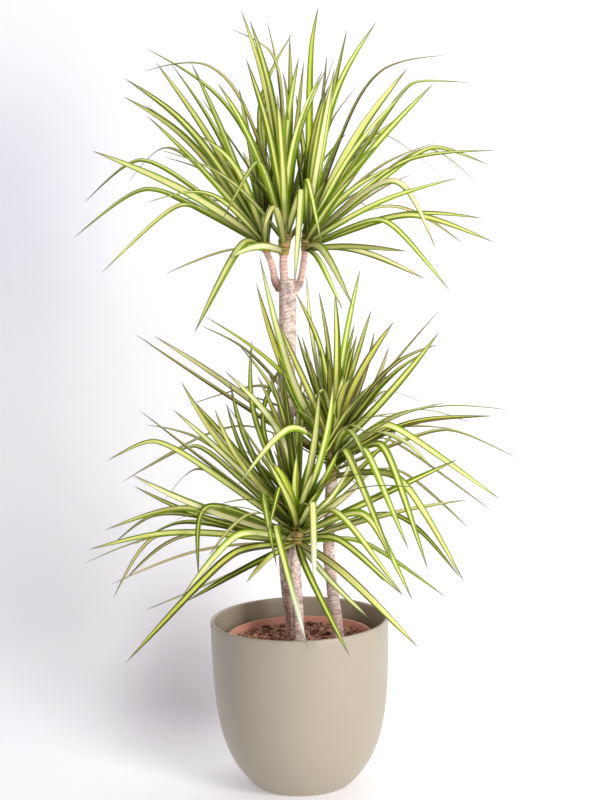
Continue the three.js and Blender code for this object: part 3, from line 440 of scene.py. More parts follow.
def turned_to_show(line: LeafLine, side: Array, shown: float, judged_at: float = 0.55) -> float:
    """How far a leaf is turned from standing, so that a share of its width shows from in front.

    Args:
        line: The leaf's line.
        side: The level direction across it.
        shown: The share of its width.
        judged_at: The share of its length at which that is judged.

    Returns:
        The turn in radians: a quarter turn lies flat.
    """
    tangent = line.tangents(np.array([judged_at]))[0]
    lying = unit(side - tangent * (tangent @ side))
    standing = np.cross(tangent, lying)
    level = unit(np.cross(np.array([0.0, 1.0, 0.0]), tangent))
    facing = math.atan2(float(lying @ level), float(standing @ level))
    off = math.acos(min(1.0, shown))
    turns = [turn + half for turn in (facing - off, facing + off) for half in (-math.pi, 0, math.pi)]
    return min(turns, key=lambda turn: abs(turn - math.pi / 2))


@dataclass
class Leaf:
    """One leaf: its head, its line, and the way it lies."""

    head: HeadSize
    line: LeafLine
    side: Array
    wide: float
    flat: float
    fold: float
    tone: Tone
    points: Array = field(init=False)

    SAMPLES = 40

    def __post_init__(self) -> None:
        """Takes the points that the leaf is kept clear at."""
        self.points = self.line.places(np.linspace(0, 1, self.SAMPLES + 1))

    def heading(self) -> Array:
        """The direction from the head's foot to the middle of the leaf."""
        return unit(self.points[self.SAMPLES // 2] - np.array(self.head.foot, float))


@dataclass(frozen=True)
class Habit:
    """How one kind of leaf stands round its head, from young to old: its tones come in turn.

    It leans off upright and hangs further past the bend, in degrees, and is aimed from a share of
    the stem's height. Its lengths are shares of the head's reach, or millimetres for dried ends.
    """

    tones: tuple[Tone, ...]
    width: float
    fold: float
    lean: Span
    lengths: Span
    droop: Span = (0.0, 0.0)
    droop_vary: Span = (1.0, 0.0)
    start: float = 0.5

    def lean_at(self, age: float) -> float:
        """The lean at an age from 0 to 1, in radians."""
        return math.radians(lerp(*self.lean, age))

    def droop_at(self, age: float, share: float) -> float:
        """The droop at an age, in radians, a share of the way through what it varies by."""
        least, more = self.droop_vary
        return math.radians(lerp(*self.droop, age) * (least + more * share))


OUTER = Habit(
    (Tone.STRIPED, Tone.YELLOW, Tone.GREEN, Tone.STRIPED, Tone.OLIVE), width=9.0, fold=0.66,
    lean=(7, 74), lengths=(0.88, 1.2), droop=(3, 44), droop_vary=(0.6, 0.8))
INNER = Habit(
    (Tone.GREEN, Tone.DARK, Tone.STRIPED, Tone.OLIVE, Tone.GREEN, Tone.YELLOW), width=7.5, fold=0.62,
    lean=(5, 58), lengths=(0.42, 0.72), droop=(2, 30), droop_vary=(0.5, 1.0))
DRIED = Habit(
    (Tone.DRY, Tone.OLIVE, Tone.DRY, Tone.DARK), width=2.0, fold=0.7,
    lean=(48, 100), lengths=(24, 60), start=0.22)


@dataclass
class Crown:
    """Grows every leaf: the placed rows in their order, then what each head's habits add."""

    # A leaf's root: the lowest direction, and how high up the stem the others start.
    lowest_way: float = 105.0
    root_height: float = 0.85
    root_power: float = 1.6
    root_span: Span = (0.04, 0.8)
    root_aside: float = 0.35
    root_share: float = 0.14
    # Its form: a real width made from the shown one, and a bend from its fold.
    least_width: float = 6.6
    widening: float = 0.64
    showing: float = 1.35
    softening: float = 3.0
    creased: float = 0.93
    # How far apart the leaves keep, and how they are pushed clear.
    leaves_apart: float = 13.0
    inner_apart: float = 6.0
    canes_apart: float = 7.0
    bead_step: float = 8.0
    step: float = 11.0
    tries: int = 8
    depth_spread: float = 1.3
    tip_push: float = 1.4
    pot_radius: float = 154.0
    pot_height: float = 285.0
    # The habits' own turns, and the age at which an outer leaf is longest.
    rule_tries: int = 12
    apart_angle: float = 0.23
    shun_cosine: float = 0.3
    longest_age: float = 0.45
    shortening: float = 0.25
    inner_turn: float = 1.1
    dried_step: float = 0.55
    dried_hang: float = 0.6
    leaves: list[Leaf] = field(default_factory=list)

    def grow(self) -> list[Leaf]:
        """Grows the leaves.

        Returns:
            All leaves, in the order in which they were placed.
        """
        self.beads = self.cane_beads()
        for head, row in ((head, row) for head, rows in LEAVES for row in rows):
            leaf = self.seen_leaf(head, *row)
            if leaf:
                self.leaves.append(leaf)
        for add in (self.add_by_rule, self.add_inner, self.add_dried):
            for head in HEADS.values():
                add(head)
        return self.leaves

    def cane_beads(self) -> tuple[Array, Array]:
        """Beads along every cane and shoot, which the leaves keep clear of.

        Returns:
            The beads' places and radii.
        """
        places, radii = [], []
        tubes = [(cane.axis, cane.radius) for cane in CANES.values()]
        tubes += [(shoot.path, shoot.radius) for shoot in SHOOTS]
        for path, radius in tubes:
            spline = Spline(path)
            beads = math.ceil(spline.length / self.bead_step)
            places += [spline.along(bead / beads) for bead in range(beads + 1)]
            radii += [radius] * (beads + 1)
        return np.array(places), np.array(radii)

    def seen(self, x: float, z: float, depth: float) -> Array:
        """A place seen at x, z on the upright plane through the pot's axis, at its own depth."""
        slide = 1 + depth / EYE_DISTANCE
        return np.array([EYE_X + (x - EYE_X) * slide, depth, EYE_HEIGHT + (z - EYE_HEIGHT) * slide])

    def root_of(self, head: HeadSize, bend: Array) -> Array:
        """Where a leaf leaves its head's stem: the more upright it is, the higher.

        Args:
            head: The head.
            bend: Where the leaf bends.

        Returns:
            Its root, a little off the stem's middle.
        """
        out = bend - np.array(head.foot, float)
        level = math.hypot(out[0], out[1])
        upright = max(0.0, 1 - math.atan2(level, out[2]) / math.radians(self.lowest_way))
        height = clamp(self.root_height * upright ** self.root_power, *self.root_span)
        aside = np.array([out[0], out[1], 0.0]) / level * head.core * self.root_aside * (1 - height)
        return head.stem_at(height) + aside

    def make_leaf(
        self, head: HeadSize, bend: Array, tip: Array, width: float, fold: float, tone: Tone,
        is_seen: bool = False,
    ) -> Leaf:
        """Makes a leaf of a head.

        Args:
            head: The head that it grows from.
            bend: Where it bends.
            tip: Its tip.
            width: The width that it shows from the front.
            fold: How sharply it folds at the bend.
            tone: How it is coloured.
            is_seen: Whether it is turned to show that width; else it lies flat.

        Returns:
            The leaf.
        """
        root = self.root_of(head, bend)
        line = LeafLine(root, bend, tip, self.softening * (self.creased - fold))
        away = unit((tip + bend - 2 * root)[:2])
        side = np.array([-away[1], away[0], 0.0])
        wide = self.least_width + self.widening * width
        flat = turned_to_show(line, side, self.showing * width / wide) if is_seen else math.pi / 2
        return Leaf(head, line, side, wide, flat, fold, tone)

    def seen_leaf(
        self, head: str, bend_x: float, bend_z: float, bend_y: float, tip_x: float, tip_z: float,
        tip_y: float, width: float, fold: float = 0.6, tone: str = "striped",
    ) -> Leaf | None:
        """A placed leaf, pushed along the line of sight until it is clear of the other heads.

        Args:
            head, bend_x, bend_z, bend_y, tip_x, tip_z, tip_y, width, fold, tone: Its row of LEAVES.

        Returns:
            The leaf, or None where there is no room for it.
        """
        for attempt in range(2 * self.tries + 1):
            push = self.step * math.ceil(attempt / 2) * (-1 if attempt % 2 == 0 else 1)
            bend = self.seen(bend_x, bend_z, self.depth_spread * bend_y + push)
            tip = self.seen(tip_x, tip_z, self.depth_spread * tip_y + self.tip_push * push)
            leaf = self.make_leaf(HEADS[head], bend, tip, width, fold, Tone[tone.upper()], True)
            if self.is_clear(leaf, self.leaves_apart):
                return leaf
        return None

    def aimed_leaf(
        self, head: HeadSize, habit: Habit, number: int, length: float, way: Array,
        tip_way: Array,
    ) -> Leaf:
        """A leaf that goes one way for half its length, and another way to its tip.

        Args:
            head: The head that it grows from.
            habit: Its habit.
            number: Which leaf of the habit.
            length: Its length.
            way, tip_way: The directions of its halves.

        Returns:
            The leaf.
        """
        bend = head.stem_at(habit.start) + 0.5 * length * way
        tip = bend + 0.5 * length * tip_way
        tone = habit.tones[number % len(habit.tones)]
        return self.make_leaf(head, bend, tip, habit.width, habit.fold, tone)

    def rule_leaf(self, head: HeadSize, number: int, azimuth: float) -> Leaf:
        """A leaf of a head's rule: upright when young, drooping when old.

        Args:
            head: The head.
            number: Which leaf of the rule.
            azimuth: The direction that it leans in.

        Returns:
            The leaf.
        """
        age = even_share(number, 0)
        lean = OUTER.lean_at(age)
        droop = OUTER.droop_at(age * age, even_share(number, 1))
        length = head.reach * lerp(*OUTER.lengths, even_share(number, 2))
        length *= 1 - self.shortening * abs(age - self.longest_age)
        way, tip_way = slanted(azimuth, lean), slanted(azimuth, lean + droop)
        return self.aimed_leaf(head, OUTER, number, length, way, tip_way)

    def add_by_rule(self, head: HeadSize) -> None:
        """Adds a head's rule leaves where there is room for them.

        Args:
            head: The head.
        """
        added = 0
        for number in range(self.rule_tries * head.more):
            if added == head.more:
                break
            azimuth = number * GOLDEN_ANGLE + head.turn
            leaf = self.rule_leaf(head, number, azimuth)
            shunned = head.shun is not None and math.cos(azimuth - head.shun) > self.shun_cosine
            if not shunned and self.is_new(leaf) and self.has_room(leaf, self.leaves_apart):
                self.leaves.append(leaf)
                added += 1

    def add_inner(self, head: HeadSize) -> None:
        """Adds the short, darker leaves of a head's inside, which fill it between the long ones.

        Args:
            head: The head.
        """
        for number in range(head.inner):
            age = (number + 0.5) / head.inner
            azimuth = number * GOLDEN_ANGLE + head.turn + self.inner_turn
            lean = INNER.lean_at(age)
            droop = INNER.droop_at(age, even_share(number, 1))
            length = head.reach * lerp(*INNER.lengths, even_share(number, 2))
            way, tip_way = slanted(azimuth, lean), slanted(azimuth, lean + droop)
            leaf = self.aimed_leaf(head, INNER, number, length, way, tip_way)
            if self.has_room(leaf, self.inner_apart):
                self.leaves.append(leaf)

    def add_dried(self, head: HeadSize) -> None:
        """Adds the dried ends of old leaves, round the side of a head's foot that the photo shows.

        Args:
            head: The head.
        """
        for number in range(head.dried):
            azimuth = 0.75 * FULL_TURN + (number - 0.5 * head.dried) * self.dried_step
            lean = DRIED.lean_at(even_share(number, 0))
            veer = 0.5 - even_share(number, 1)
            length = lerp(*DRIED.lengths, even_share(number, 2))
            way, tip_way = slanted(azimuth, lean), slanted(azimuth + veer, lean + self.dried_hang)
            leaf = self.aimed_leaf(head, DRIED, number, length, way, tip_way)
            if self.is_clear(leaf, self.inner_apart):
                self.leaves.append(leaf)

    def has_room(self, leaf: Leaf, apart: float) -> bool:
        """Whether a leaf keeps out of the pots and clear of the canes and the other heads."""
        return self.off_pots(leaf) and self.is_clear(leaf, apart)

    def is_clear(self, leaf: Leaf, apart: float) -> bool:
        """Whether a leaf keeps clear of the canes and of the other heads' leaves.

        Args:
            leaf: The leaf.
            apart: How far it has to keep from those leaves.

        Returns:
            Whether it does.
        """
        free = leaf.points[math.ceil(self.root_share * Leaf.SAMPLES):]
        places, radii = self.beads
        gaps = np.linalg.norm(free[:, None] - places[None], axis=2) - radii[None]
        if gaps.min() <= self.canes_apart:
            return False
        others = [other.points for other in self.leaves if other.head is not leaf.head]
        if not others:
            return True
        between = leaf.points[:, None] - np.concatenate(others)[None]
        return bool(np.linalg.norm(between, axis=2).min() > apart)

    def is_new(self, leaf: Leaf) -> bool:
        """Whether a leaf starts off in a direction that no leaf of its head has yet."""
        ways = [mate.heading() for mate in self.leaves if mate.head is leaf.head]
        angles = [math.acos(clamp(float(leaf.heading() @ way), -1, 1)) for way in ways]
        return all(angle > self.apart_angle for angle in angles)

    def off_pots(self, leaf: Leaf) -> bool:
        """Whether a leaf keeps out of the pots."""
        level = np.hypot(leaf.points[:, 0], leaf.points[:, 1])
        return bool(np.all((leaf.points[:, 2] > self.pot_height) | (level > self.pot_radius)))


# ---- Shader nodes ------------------------------------------------


def tint(code: int) -> Colour:
    """A colour as shaders take it, from the usual 0xRRGGBB code.

    Args:
        code: The code.

    Returns:
        Red, green, blue and alpha, in linear light.
    """
    channels = [((code >> shift) & 0xFF) / 255 for shift in (16, 8, 0)]
    linear = [c / 12.92 if c <= 0.04045 else ((c + 0.055) / 1.055) ** 2.4 for c in channels]
    return (*linear, 1.0)


@dataclass(frozen=True)
class Zone:
    """Where an effect sets in, where it is full, and how strong it is then."""

    low: float
    high: float
    strength: float = 1.0


@dataclass
class Wiring:
    """Adds nodes to a tree and joins them by their sockets."""

    tree: bpy.types.NodeTree

    def add(self, kind: str, inputs: dict | None = None, **settings: object) -> Node:
        """Adds a node.

        Args:
            kind: The node's type.
            inputs: Its input sockets by name or number, each with a value or a socket to join.
            settings: Its properties.

        Returns:
            The node.
        """
        node = self.tree.nodes.new(kind)
        for name, value in settings.items():
            setattr(node, name, value)
        for name, value in (inputs or {}).items():
            if isinstance(value, Socket):
                self.tree.links.new(value, node.inputs[name])
            else:
                node.inputs[name].default_value = value
        return node

    def feed(self, node: Node, sockets: dict[str, Socket]) -> None:
        """Joins sockets to the inputs of a node that is already there."""
        for name, socket in sockets.items():
            self.tree.links.new(socket, node.inputs[name])

    def calc(self, operation: str, first: Value, second: Value = 0.0) -> Socket:
        """A Math node's result."""
        return self.add("ShaderNodeMath", {0: first, 1: second}, operation=operation).outputs[0]

    def times(self, first: Value, second: Value) -> Socket:
        """Two values multiplied."""
        return self.calc("MULTIPLY", first, second)

    def less(self, first: Value, second: Value) -> Socket:
        """A value less another."""
        return self.calc("SUBTRACT", first, second)

    def ramp(self, value: Socket, low: float, high: float, start: float = 0.0, end: float = 1.0) -> Socket:
        """The value turned smoothly from start at low to end at high."""
        inputs = {"Value": value, "From Min": low, "From Max": high, "To Min": start, "To Max": end}
        return self.add("ShaderNodeMapRange", inputs, interpolation_type="SMOOTHSTEP").outputs[0]

    def zone(self, value: Socket, zone: Zone) -> Socket:
        """How strongly an effect shows at a value."""
        return self.times(self.ramp(value, zone.low, zone.high), zone.strength)

    def mix(self, share: Value, first: Socket | Colour, second: Socket | Colour) -> Socket:
        """A colour between two others."""
        node = self.add("ShaderNodeMix", {0: share, 6: first, 7: second}, data_type="RGBA")
        return node.outputs[2]

    def shade(self, colour: Socket | Colour, value: Socket) -> Socket:
        """A colour made lighter or darker by a value."""
        plain = colour if isinstance(colour, Socket) else colour[:3]
        scaled = self.add("ShaderNodeVectorMath", {0: plain, "Scale": value}, operation="SCALE")
        return scaled.outputs[0]

    def noise(self, place: Socket, scale: Value, detail: float = 2.0, roughness: float = 0.5) -> Socket:
        """A noise pattern's value."""
        inputs = {"Vector": place, "Scale": scale, "Detail": detail, "Roughness": roughness}
        return self.add("ShaderNodeTexNoise", inputs).outputs["Fac"]

    def bump(self, height: Socket, distance: float) -> Socket:
        """The normal of a small relief, with its depth in metres."""
        inputs = {"Height": height, "Distance": distance, "Strength": 1.0}
        return self.add("ShaderNodeBump", inputs).outputs[0]

    def place(self) -> Socket:
        """The place on the piece, in metres."""
        return self.add("ShaderNodeTexCoord").outputs["Object"]

    def skin(self) -> tuple[Socket, Socket]:
        """The shares across and along the piece's UV map."""
        skin = self.add("ShaderNodeUVMap", uv_map="skin").outputs[0]
        parts = self.add("ShaderNodeSeparateXYZ", {0: skin})
        return parts.outputs[0], parts.outputs[1]

    def carried(self, name: str) -> tuple[Socket, ...]:
        """The four values of an attribute that the piece's mesh carries."""
        attribute = self.add("ShaderNodeAttribute", attribute_name=name)
        parts = self.add("ShaderNodeSeparateColor", {0: attribute.outputs["Color"]})
        return (*parts.outputs, attribute.outputs["Alpha"])


def node_group(
    name: str, inputs: dict[str, float], outputs: Sequence[str],
) -> tuple[Wiring, dict[str, Socket]]:
    """Starts a shader node group.

    Args:
        name: The group's name.
        inputs: Its value inputs and their defaults.
        outputs: Its value outputs.

    Returns:
        The group's wiring, and its input sockets by name.
    """
    tree = bpy.data.node_groups.new(name, "ShaderNodeTree")
    for label, value in inputs.items():
        socket = tree.interface.new_socket(label, in_out="INPUT", socket_type="NodeSocketFloat")
        socket.default_value = value
    for label in outputs:
        tree.interface.new_socket(label, in_out="OUTPUT", socket_type="NodeSocketFloat")
    net = Wiring(tree)
    entry = net.add("NodeGroupInput")
    return net, {label: entry.outputs[label] for label in inputs}


def add_mottle_group(grain_scale: float = 900.0, grain_height: float = 0.5) -> None:
    """Adds the group for uneven shade, as on clay and plastic: a Shade round 1 and a Height.

    Args:
        grain_scale: How fine its grain is.
        grain_height: How much of the grain the height takes in.
    """
    net, given = node_group(
        "mottle", {"Scale": 40.0, "Amount": 0.1, "Specks": 0.0}, ("Shade", "Height"))
    place = net.place()
    broad = net.noise(place, given["Scale"], 3.0)
    swing = net.times(net.less(broad, 0.5), given["Amount"])
    grain = net.times(net.less(net.noise(place, grain_scale, 1.0), 0.5), given["Specks"])
    shade = net.calc("ADD", net.calc("ADD", swing, grain), 1.0)
    height = net.calc("ADD", broad, net.times(grain, grain_height))
    net.add("NodeGroupOutput", {"Shade": shade, "Height": height})


def add_fibre_group(phase_step: float = 40.0) -> None:
    """Adds the group for fine lines that run along a piece's UV map: a Line mask round 0.5.

    Args:
        phase_step: How far apart in the pattern two pieces lie whose phases are one apart.
    """
    net, given = node_group("fibres", {"Lines": 30.0, "Stretch": 1.5, "Phase": 0.0}, ("Line",))
    across, along = net.skin()
    place = net.add("ShaderNodeCombineXYZ", {
        0: net.times(across, given["Lines"]), 1: net.times(along, given["Stretch"]),
        2: net.times(given["Phase"], phase_step),
    }).outputs[0]
    net.add("NodeGroupOutput", {"Line": net.noise(place, 1.0)})


@dataclass(frozen=True)
class Finish:
    """A material with the Principled shader's own constant values."""

    name: str
    roughness: float = 0.5
    specular: float = 0.5
    coat: float = 0.0
    coat_roughness: float = 0.3
    glow: float = 0.0

    def material(self) -> Material:
        """Makes the material.

        Returns:
            The material.
        """
        material = bpy.data.materials.new(self.name)
        material.use_nodes = True
        material.node_tree.nodes.clear()
        net = Wiring(material.node_tree)
        shader = net.add("ShaderNodeBsdfPrincipled", {
            "Roughness": self.roughness, "Specular IOR Level": self.specular,
            "Coat Weight": self.coat, "Coat Roughness": self.coat_roughness,
        })
        surface = self.paint(net, shader) or shader.outputs[0]
        net.add("ShaderNodeOutputMaterial", {"Surface": surface})
        return material

    def paint(self, net: Wiring, shader: Node) -> Socket | None:
        """Joins the finish's pattern to the shader; a plain finish has none.

        Args:
            net: The material's wiring.
            shader: Its Principled shader.

        Returns:
            What the surface shows instead of the shader alone, if anything.
        """

    def group(self, net: Wiring, name: str, **inputs: Value) -> Node:
        """Places a shared node group, with its inputs by their names in small letters."""
        named = {label.capitalize(): value for label, value in inputs.items()}
        return net.add("ShaderNodeGroup", named, node_tree=bpy.data.node_groups[name])

    def fibres(self, net: Wiring, lines: float, stretch: float, phase: Value) -> Socket:
        """The fibres' Line mask: how many lines lie across, how short they are, and their phase."""
        return self.group(net, "fibres", lines=lines, stretch=stretch, phase=phase).outputs[0]


@dataclass(frozen=True)
class Clay(Finish):
    """A coloured body with a little mottle: the ceramic cover pot and the plastic nursery pot."""

    body: int = 0xA79F8B
    scale: float = 25.0
    amount: float = 0.08
    specks: float = 0.05
    relief: float = 0.0001
    smoother: float = 0.04
    rougher: float = 0.05

    def paint(self, net: Wiring, shader: Node) -> None:
        """Joins the body colour, its mottle and a faint relief, as Finish says."""
        mottle = self.group(net, "mottle", scale=self.scale, amount=self.amount, specks=self.specks)
        height = mottle.outputs["Height"]
        low, high = self.roughness - self.smoother, self.roughness + self.rougher
        net.feed(shader, {
            "Base Color": net.shade(tint(self.body), mottle.outputs["Shade"]),
            "Roughness": net.ramp(height, 0.3, 0.7, low, high),
            "Normal": net.bump(height, self.relief),
        })


@dataclass(frozen=True)
class Bark(Finish):
    """Pale pink-tan bark with dark scar lines, paler and pinker on the young shoots."""

    body: int = 0xF4DDD3
    cool: int = 0xB49C98
    warm: int = 0xE2B09C
    groove: int = 0x8A5F56
    shoot: int = 0xF2CBBD
    collar: int = 0x86573F
    cool_scale: float = 95.0
    cool_zone: Zone = Zone(0.44, 0.7)
    warm_scale: float = 38.0
    warm_zone: Zone = Zone(0.56, 0.7, 0.55)
    fleck_scale: float = 330.0
    fleck_stretch: Place = (0.55, 0.55, 1.5)
    fleck_shade: Span = (0.7, 1.2)
    groove_least: float = 0.45
    relief: float = 0.0006

    def paint(self, net: Wiring, shader: Node) -> None:
        """Joins the patches, flecks, and the scars that the mesh carries, as Finish says."""
        scar, young, collar, _ = net.carried("wood")
        place = net.place()
        stretched = net.add("ShaderNodeMapping", {"Vector": place, "Scale": self.fleck_stretch})
        flecks = net.noise(stretched.outputs[0], self.fleck_scale, 3.0)
        cool = net.zone(net.noise(place, self.cool_scale, 3.0), self.cool_zone)
        warm = net.zone(net.noise(place, self.warm_scale), self.warm_zone)
        dark = net.times(scar, net.ramp(flecks, 0.25, 0.6, 1.0, self.groove_least))
        colour = net.mix(cool, tint(self.body), tint(self.cool))
        colour = net.mix(warm, colour, tint(self.warm))
        colour = net.mix(young, colour, tint(self.shoot))
        colour = net.shade(colour, net.ramp(flecks, 0.3, 0.7, *self.fleck_shade))
        colour = net.mix(dark, colour, tint(self.groove))
        colour = net.mix(collar, colour, tint(self.collar))
        net.feed(shader, {"Base Color": colour, "Normal": net.bump(flecks, self.relief)})


@dataclass(frozen=True)
class Earth(Finish):
    """Soil, from dark wet crumbs to paler dry ones."""

    dark: int = 0x5A3224
    light: int = 0xD8A48E
    scale: float = 140.0
    grain_scale: float = 1100.0
    grain_shade: Span = (0.6, 1.35)
    relief: float = 0.0008

    def paint(self, net: Wiring, shader: Node) -> None:
        """Joins the crumbs' colours and their relief, as Finish says."""
        place = net.place()
        lumps = net.noise(place, self.scale, 4.0, 0.65)
        grain = net.noise(place, self.grain_scale)
        colour = net.mix(net.ramp(lumps, 0.35, 0.68), tint(self.dark), tint(self.light))
        colour = net.shade(colour, net.ramp(grain, 0.25, 0.75, *self.grain_shade))
        net.feed(shader, {"Base Color": colour, "Normal": net.bump(grain, self.relief)})


@dataclass(frozen=True)
class Striped(Finish):
    """A leaf: a cream or lime band between green margins, with a dark edge and a drying tip.

    Its zones run across the leaf from its middle (leaf_edge), along it from its root (pale_end,
    painted_shade_reach, dry_tip), or over the values of its fibres' lines (strays, rust_lines).
    """

    lime: int = 0xD6E04E
    cream: int = 0xFDF6BE
    bright: int = 0x8CB012
    deep: int = 0x465004
    edge: int = 0x4C4410
    rust: int = 0xB58A3C
    bleached: int = 0xEFF3E2
    dry: int = 0xBFA27C
    tip: int = 0x6B6252
    coarse: Span = (7.0, 2.2)
    fine: Span = (34.0, 2.0)
    wander: float = 0.55
    band_shade: Span = (0.82, 1.07)
    margin_shade: Span = (0.55, 1.4)
    band_edge: Zone = Zone(-0.07, 0.07)
    strays: Zone = Zone(0.6, 0.68, 0.55)
    stray_reach: float = 0.5
    leaf_edge: Zone = Zone(0.86, 0.98, 0.75)
    rust_lines: Zone = Zone(0.56, 0.68, 0.5)
    rusty_leaves: Zone = Zone(0.35, 0.8)
    pale_end: Zone = Zone(0.55, 0.9, 0.85)
    # Painted shade: the leaf's colour darkens toward its root, standing in for the shade where the leaves
    # crowd in the crown.
    painted_shade_reach: float = 0.4
    painted_root_shade: float = 0.5
    dryness: float = 0.8
    dry_tip: Zone = Zone(0.84, 0.99, 0.85)
    relief: float = 0.00015
    smoother: float = 0.05
    rougher: float = 0.08

    def paint(self, net: Wiring, shader: Node) -> None:
        """Joins the stripes, what ages the leaf, and a painted shade at its root, by its own tone and trait,
        as Finish says.
        """
        across, along = net.skin()
        pale, green, phase, bleach = net.carried("tone")
        dry, band, middle, _ = net.carried("trait")
        coarse = self.fibres(net, *self.coarse, phase)
        fine = self.fibres(net, *self.fine, phase)
        wander = net.times(net.less(coarse, 0.5), self.wander)
        past_band = net.less(net.calc("ADD", self.off(net, across, middle), wander), band)
        colour = self.stripes(net, past_band, fine, pale, green)
        at_edge = net.zone(self.off(net, across, 0.5), self.leaf_edge)
        colour = net.mix(at_edge, colour, tint(self.edge))
        rusty = net.times(net.zone(coarse, self.rust_lines), net.zone(phase, self.rusty_leaves))
        colour = net.mix(rusty, colour, tint(self.rust))
        white = net.times(net.zone(along, self.pale_end), bleach)
        colour = net.mix(white, colour, tint(self.bleached))
        # Painted shade: darker toward the root, where the crown's inside is in shade.
        colour = net.shade(colour, net.ramp(along, 0.0, self.painted_shade_reach, self.painted_root_shade, 1.0))
        colour = net.mix(net.times(dry, self.dryness), colour, tint(self.dry))
        colour = net.mix(net.zone(along, self.dry_tip), colour, tint(self.tip))
        low, high = self.roughness - self.smoother, self.roughness + self.rougher
        net.feed(shader, {
            "Base Color": colour, "Roughness": net.ramp(fine, 0.3, 0.7, low, high),
            "Normal": net.bump(fine, self.relief),
        })

    def off(self, net: Wiring, across: Socket, middle: Value) -> Socket:
        """How far a place lies to either side of a line, in half widths of the leaf."""
        return net.times(net.calc("ABSOLUTE", net.less(across, middle)), 2.0)

    def stripes(
        self, net: Wiring, past_band: Socket, fine: Socket, pale: Socket, green: Socket,
    ) -> Socket:
        """The band and the margins, with stray lines of the margins' green in the band.

        Args:
            net: The material's wiring.
            past_band: How far a place lies past the band's edge.
            fine: The fine fibres' lines.
            pale: How pale the band is.
            green: How deep the margins' green is.

        Returns:
            The colour.
        """
        band = net.mix(pale, tint(self.lime), tint(self.cream))
        band = net.shade(band, net.ramp(fine, 0.3, 0.7, *self.band_shade))
        margin = net.mix(green, tint(self.bright), tint(self.deep))
        margin = net.shade(margin, net.ramp(fine, 0.3, 0.7, *self.margin_shade))
        stray = net.times(
            net.zone(fine, self.strays), net.ramp(past_band, -self.stray_reach, 0.0))
        in_margin = net.calc("MAXIMUM", net.zone(past_band, self.band_edge), stray)
        return net.mix(in_margin, band, margin)


@dataclass(frozen=True)
class Sheath(Finish):
    """The leaf bases that wrap a head's stem: tan below, olive above, with a dry brown lip."""

    low: int = 0xC8986E
    high: int = 0x9A9440
    lip: int = 0x7A4E22
    change: Zone = Zone(0.1, 0.75)
    lip_zone: Zone = Zone(0.7, 0.97, 0.8)
    fine: tuple[float, float, float] = (60.0, 2.0, 0.3)
    fine_shade: Span = (0.78, 1.12)
    relief: float = 0.0002

    def paint(self, net: Wiring, shader: Node) -> None:
        """Joins the change along each sheath, its fibres and its dry lip, as Finish says."""
        along = net.skin()[1]
        fine = self.fibres(net, *self.fine)
        colour = net.mix(net.zone(along, self.change), tint(self.low), tint(self.high))
        colour = net.shade(colour, net.ramp(fine, 0.3, 0.7, *self.fine_shade))
        colour = net.mix(net.zone(along, self.lip_zone), colour, tint(self.lip))
        net.feed(shader, {"Base Color": colour, "Normal": net.bump(fine, self.relief)})


@dataclass(frozen=True)
class Patch:
    """A soft patch of shade: its centre, its reach along each axis, its strength and its colour."""

    centre: Place
    reach: Place
    strength: float
    colour: int

    def share(self, net: Wiring, place: Socket) -> Socket:
        """How strongly the patch shows at a place: fully round its centre, not at all past its reach.

        Args:
            net: The material's wiring.
            place: The place.

        Returns:
            The share.
        """
        shift = tuple(-c / r for c, r in zip(self.centre, self.reach))
        scale = tuple(1 / r for r in self.reach)
        scaled = net.add("ShaderNodeMapping", {"Vector": place, "Location": shift, "Scale": scale})
        length = net.add("ShaderNodeVectorMath", {0: scaled.outputs[0]}, operation="LENGTH")
        return net.zone(length.outputs["Value"], Zone(1.0, 0.1, self.strength))


@dataclass(frozen=True)
class Paper(Finish):
    """The pale sweep behind the plant, which isn't seen from behind."""

    body: int = 0xF4F3F6
    patches: tuple[Patch, ...] = (
        Patch((-0.46, 0.0, 0.45), (0.5, 9.0, 0.9), 0.08, 0xDCDAE6),
        Patch((-0.62, 0.0, 0.92), (0.36, 9.0, 0.36), 0.75, 0xDCDAE6),
        Patch((-0.2, 0.47, 0.0), (0.2, 0.44, 0.5), 0.66, 0xA79EA6),
    )

    def paint(self, net: Wiring, shader: Node) -> Socket:
        """Joins the soft shade left of the pot, and lets the sweep's back be seen through."""
        place = net.place()
        colour = tint(self.body)
        for patch in self.patches:
            colour = net.mix(patch.share(net, place), colour, tint(patch.colour))
        net.feed(shader, {"Base Color": colour, "Emission Color": colour})
        shader.inputs["Emission Strength"].default_value = self.glow
        back = net.add("ShaderNodeNewGeometry").outputs["Backfacing"]
        clear = net.add("ShaderNodeBsdfTransparent").outputs[0]
        both = net.add("ShaderNodeMixShader", {0: back, 1: shader.outputs[0], 2: clear})
        return both.outputs[0]


# ---- Meshes ------------------------------------------------------


def made_piece(name: str, bm: Mesh, material: Material) -> Piece:
    """Turns a finished bmesh into an object of the scene.

    Args:
        name: The piece's name.
        bm: Its shape, in metres, which this frees.
        material: Its material.

    Returns:
        The piece, at the origin.
    """
    mesh = bpy.data.meshes.new(name)
    bm.to_mesh(mesh)
    bm.free()
    mesh.materials.append(material)
    piece = bpy.data.objects.new(name, mesh)
    bpy.context.scene.collection.objects.link(piece)
    return piece


def stand_for(piece: Piece, node: str) -> None:
    """Lets a piece stand for a solid of the frame, and reports it."""
    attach(piece, BODY)
    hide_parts(node)
    LOG.info("%s stands for %s", piece.name, node)


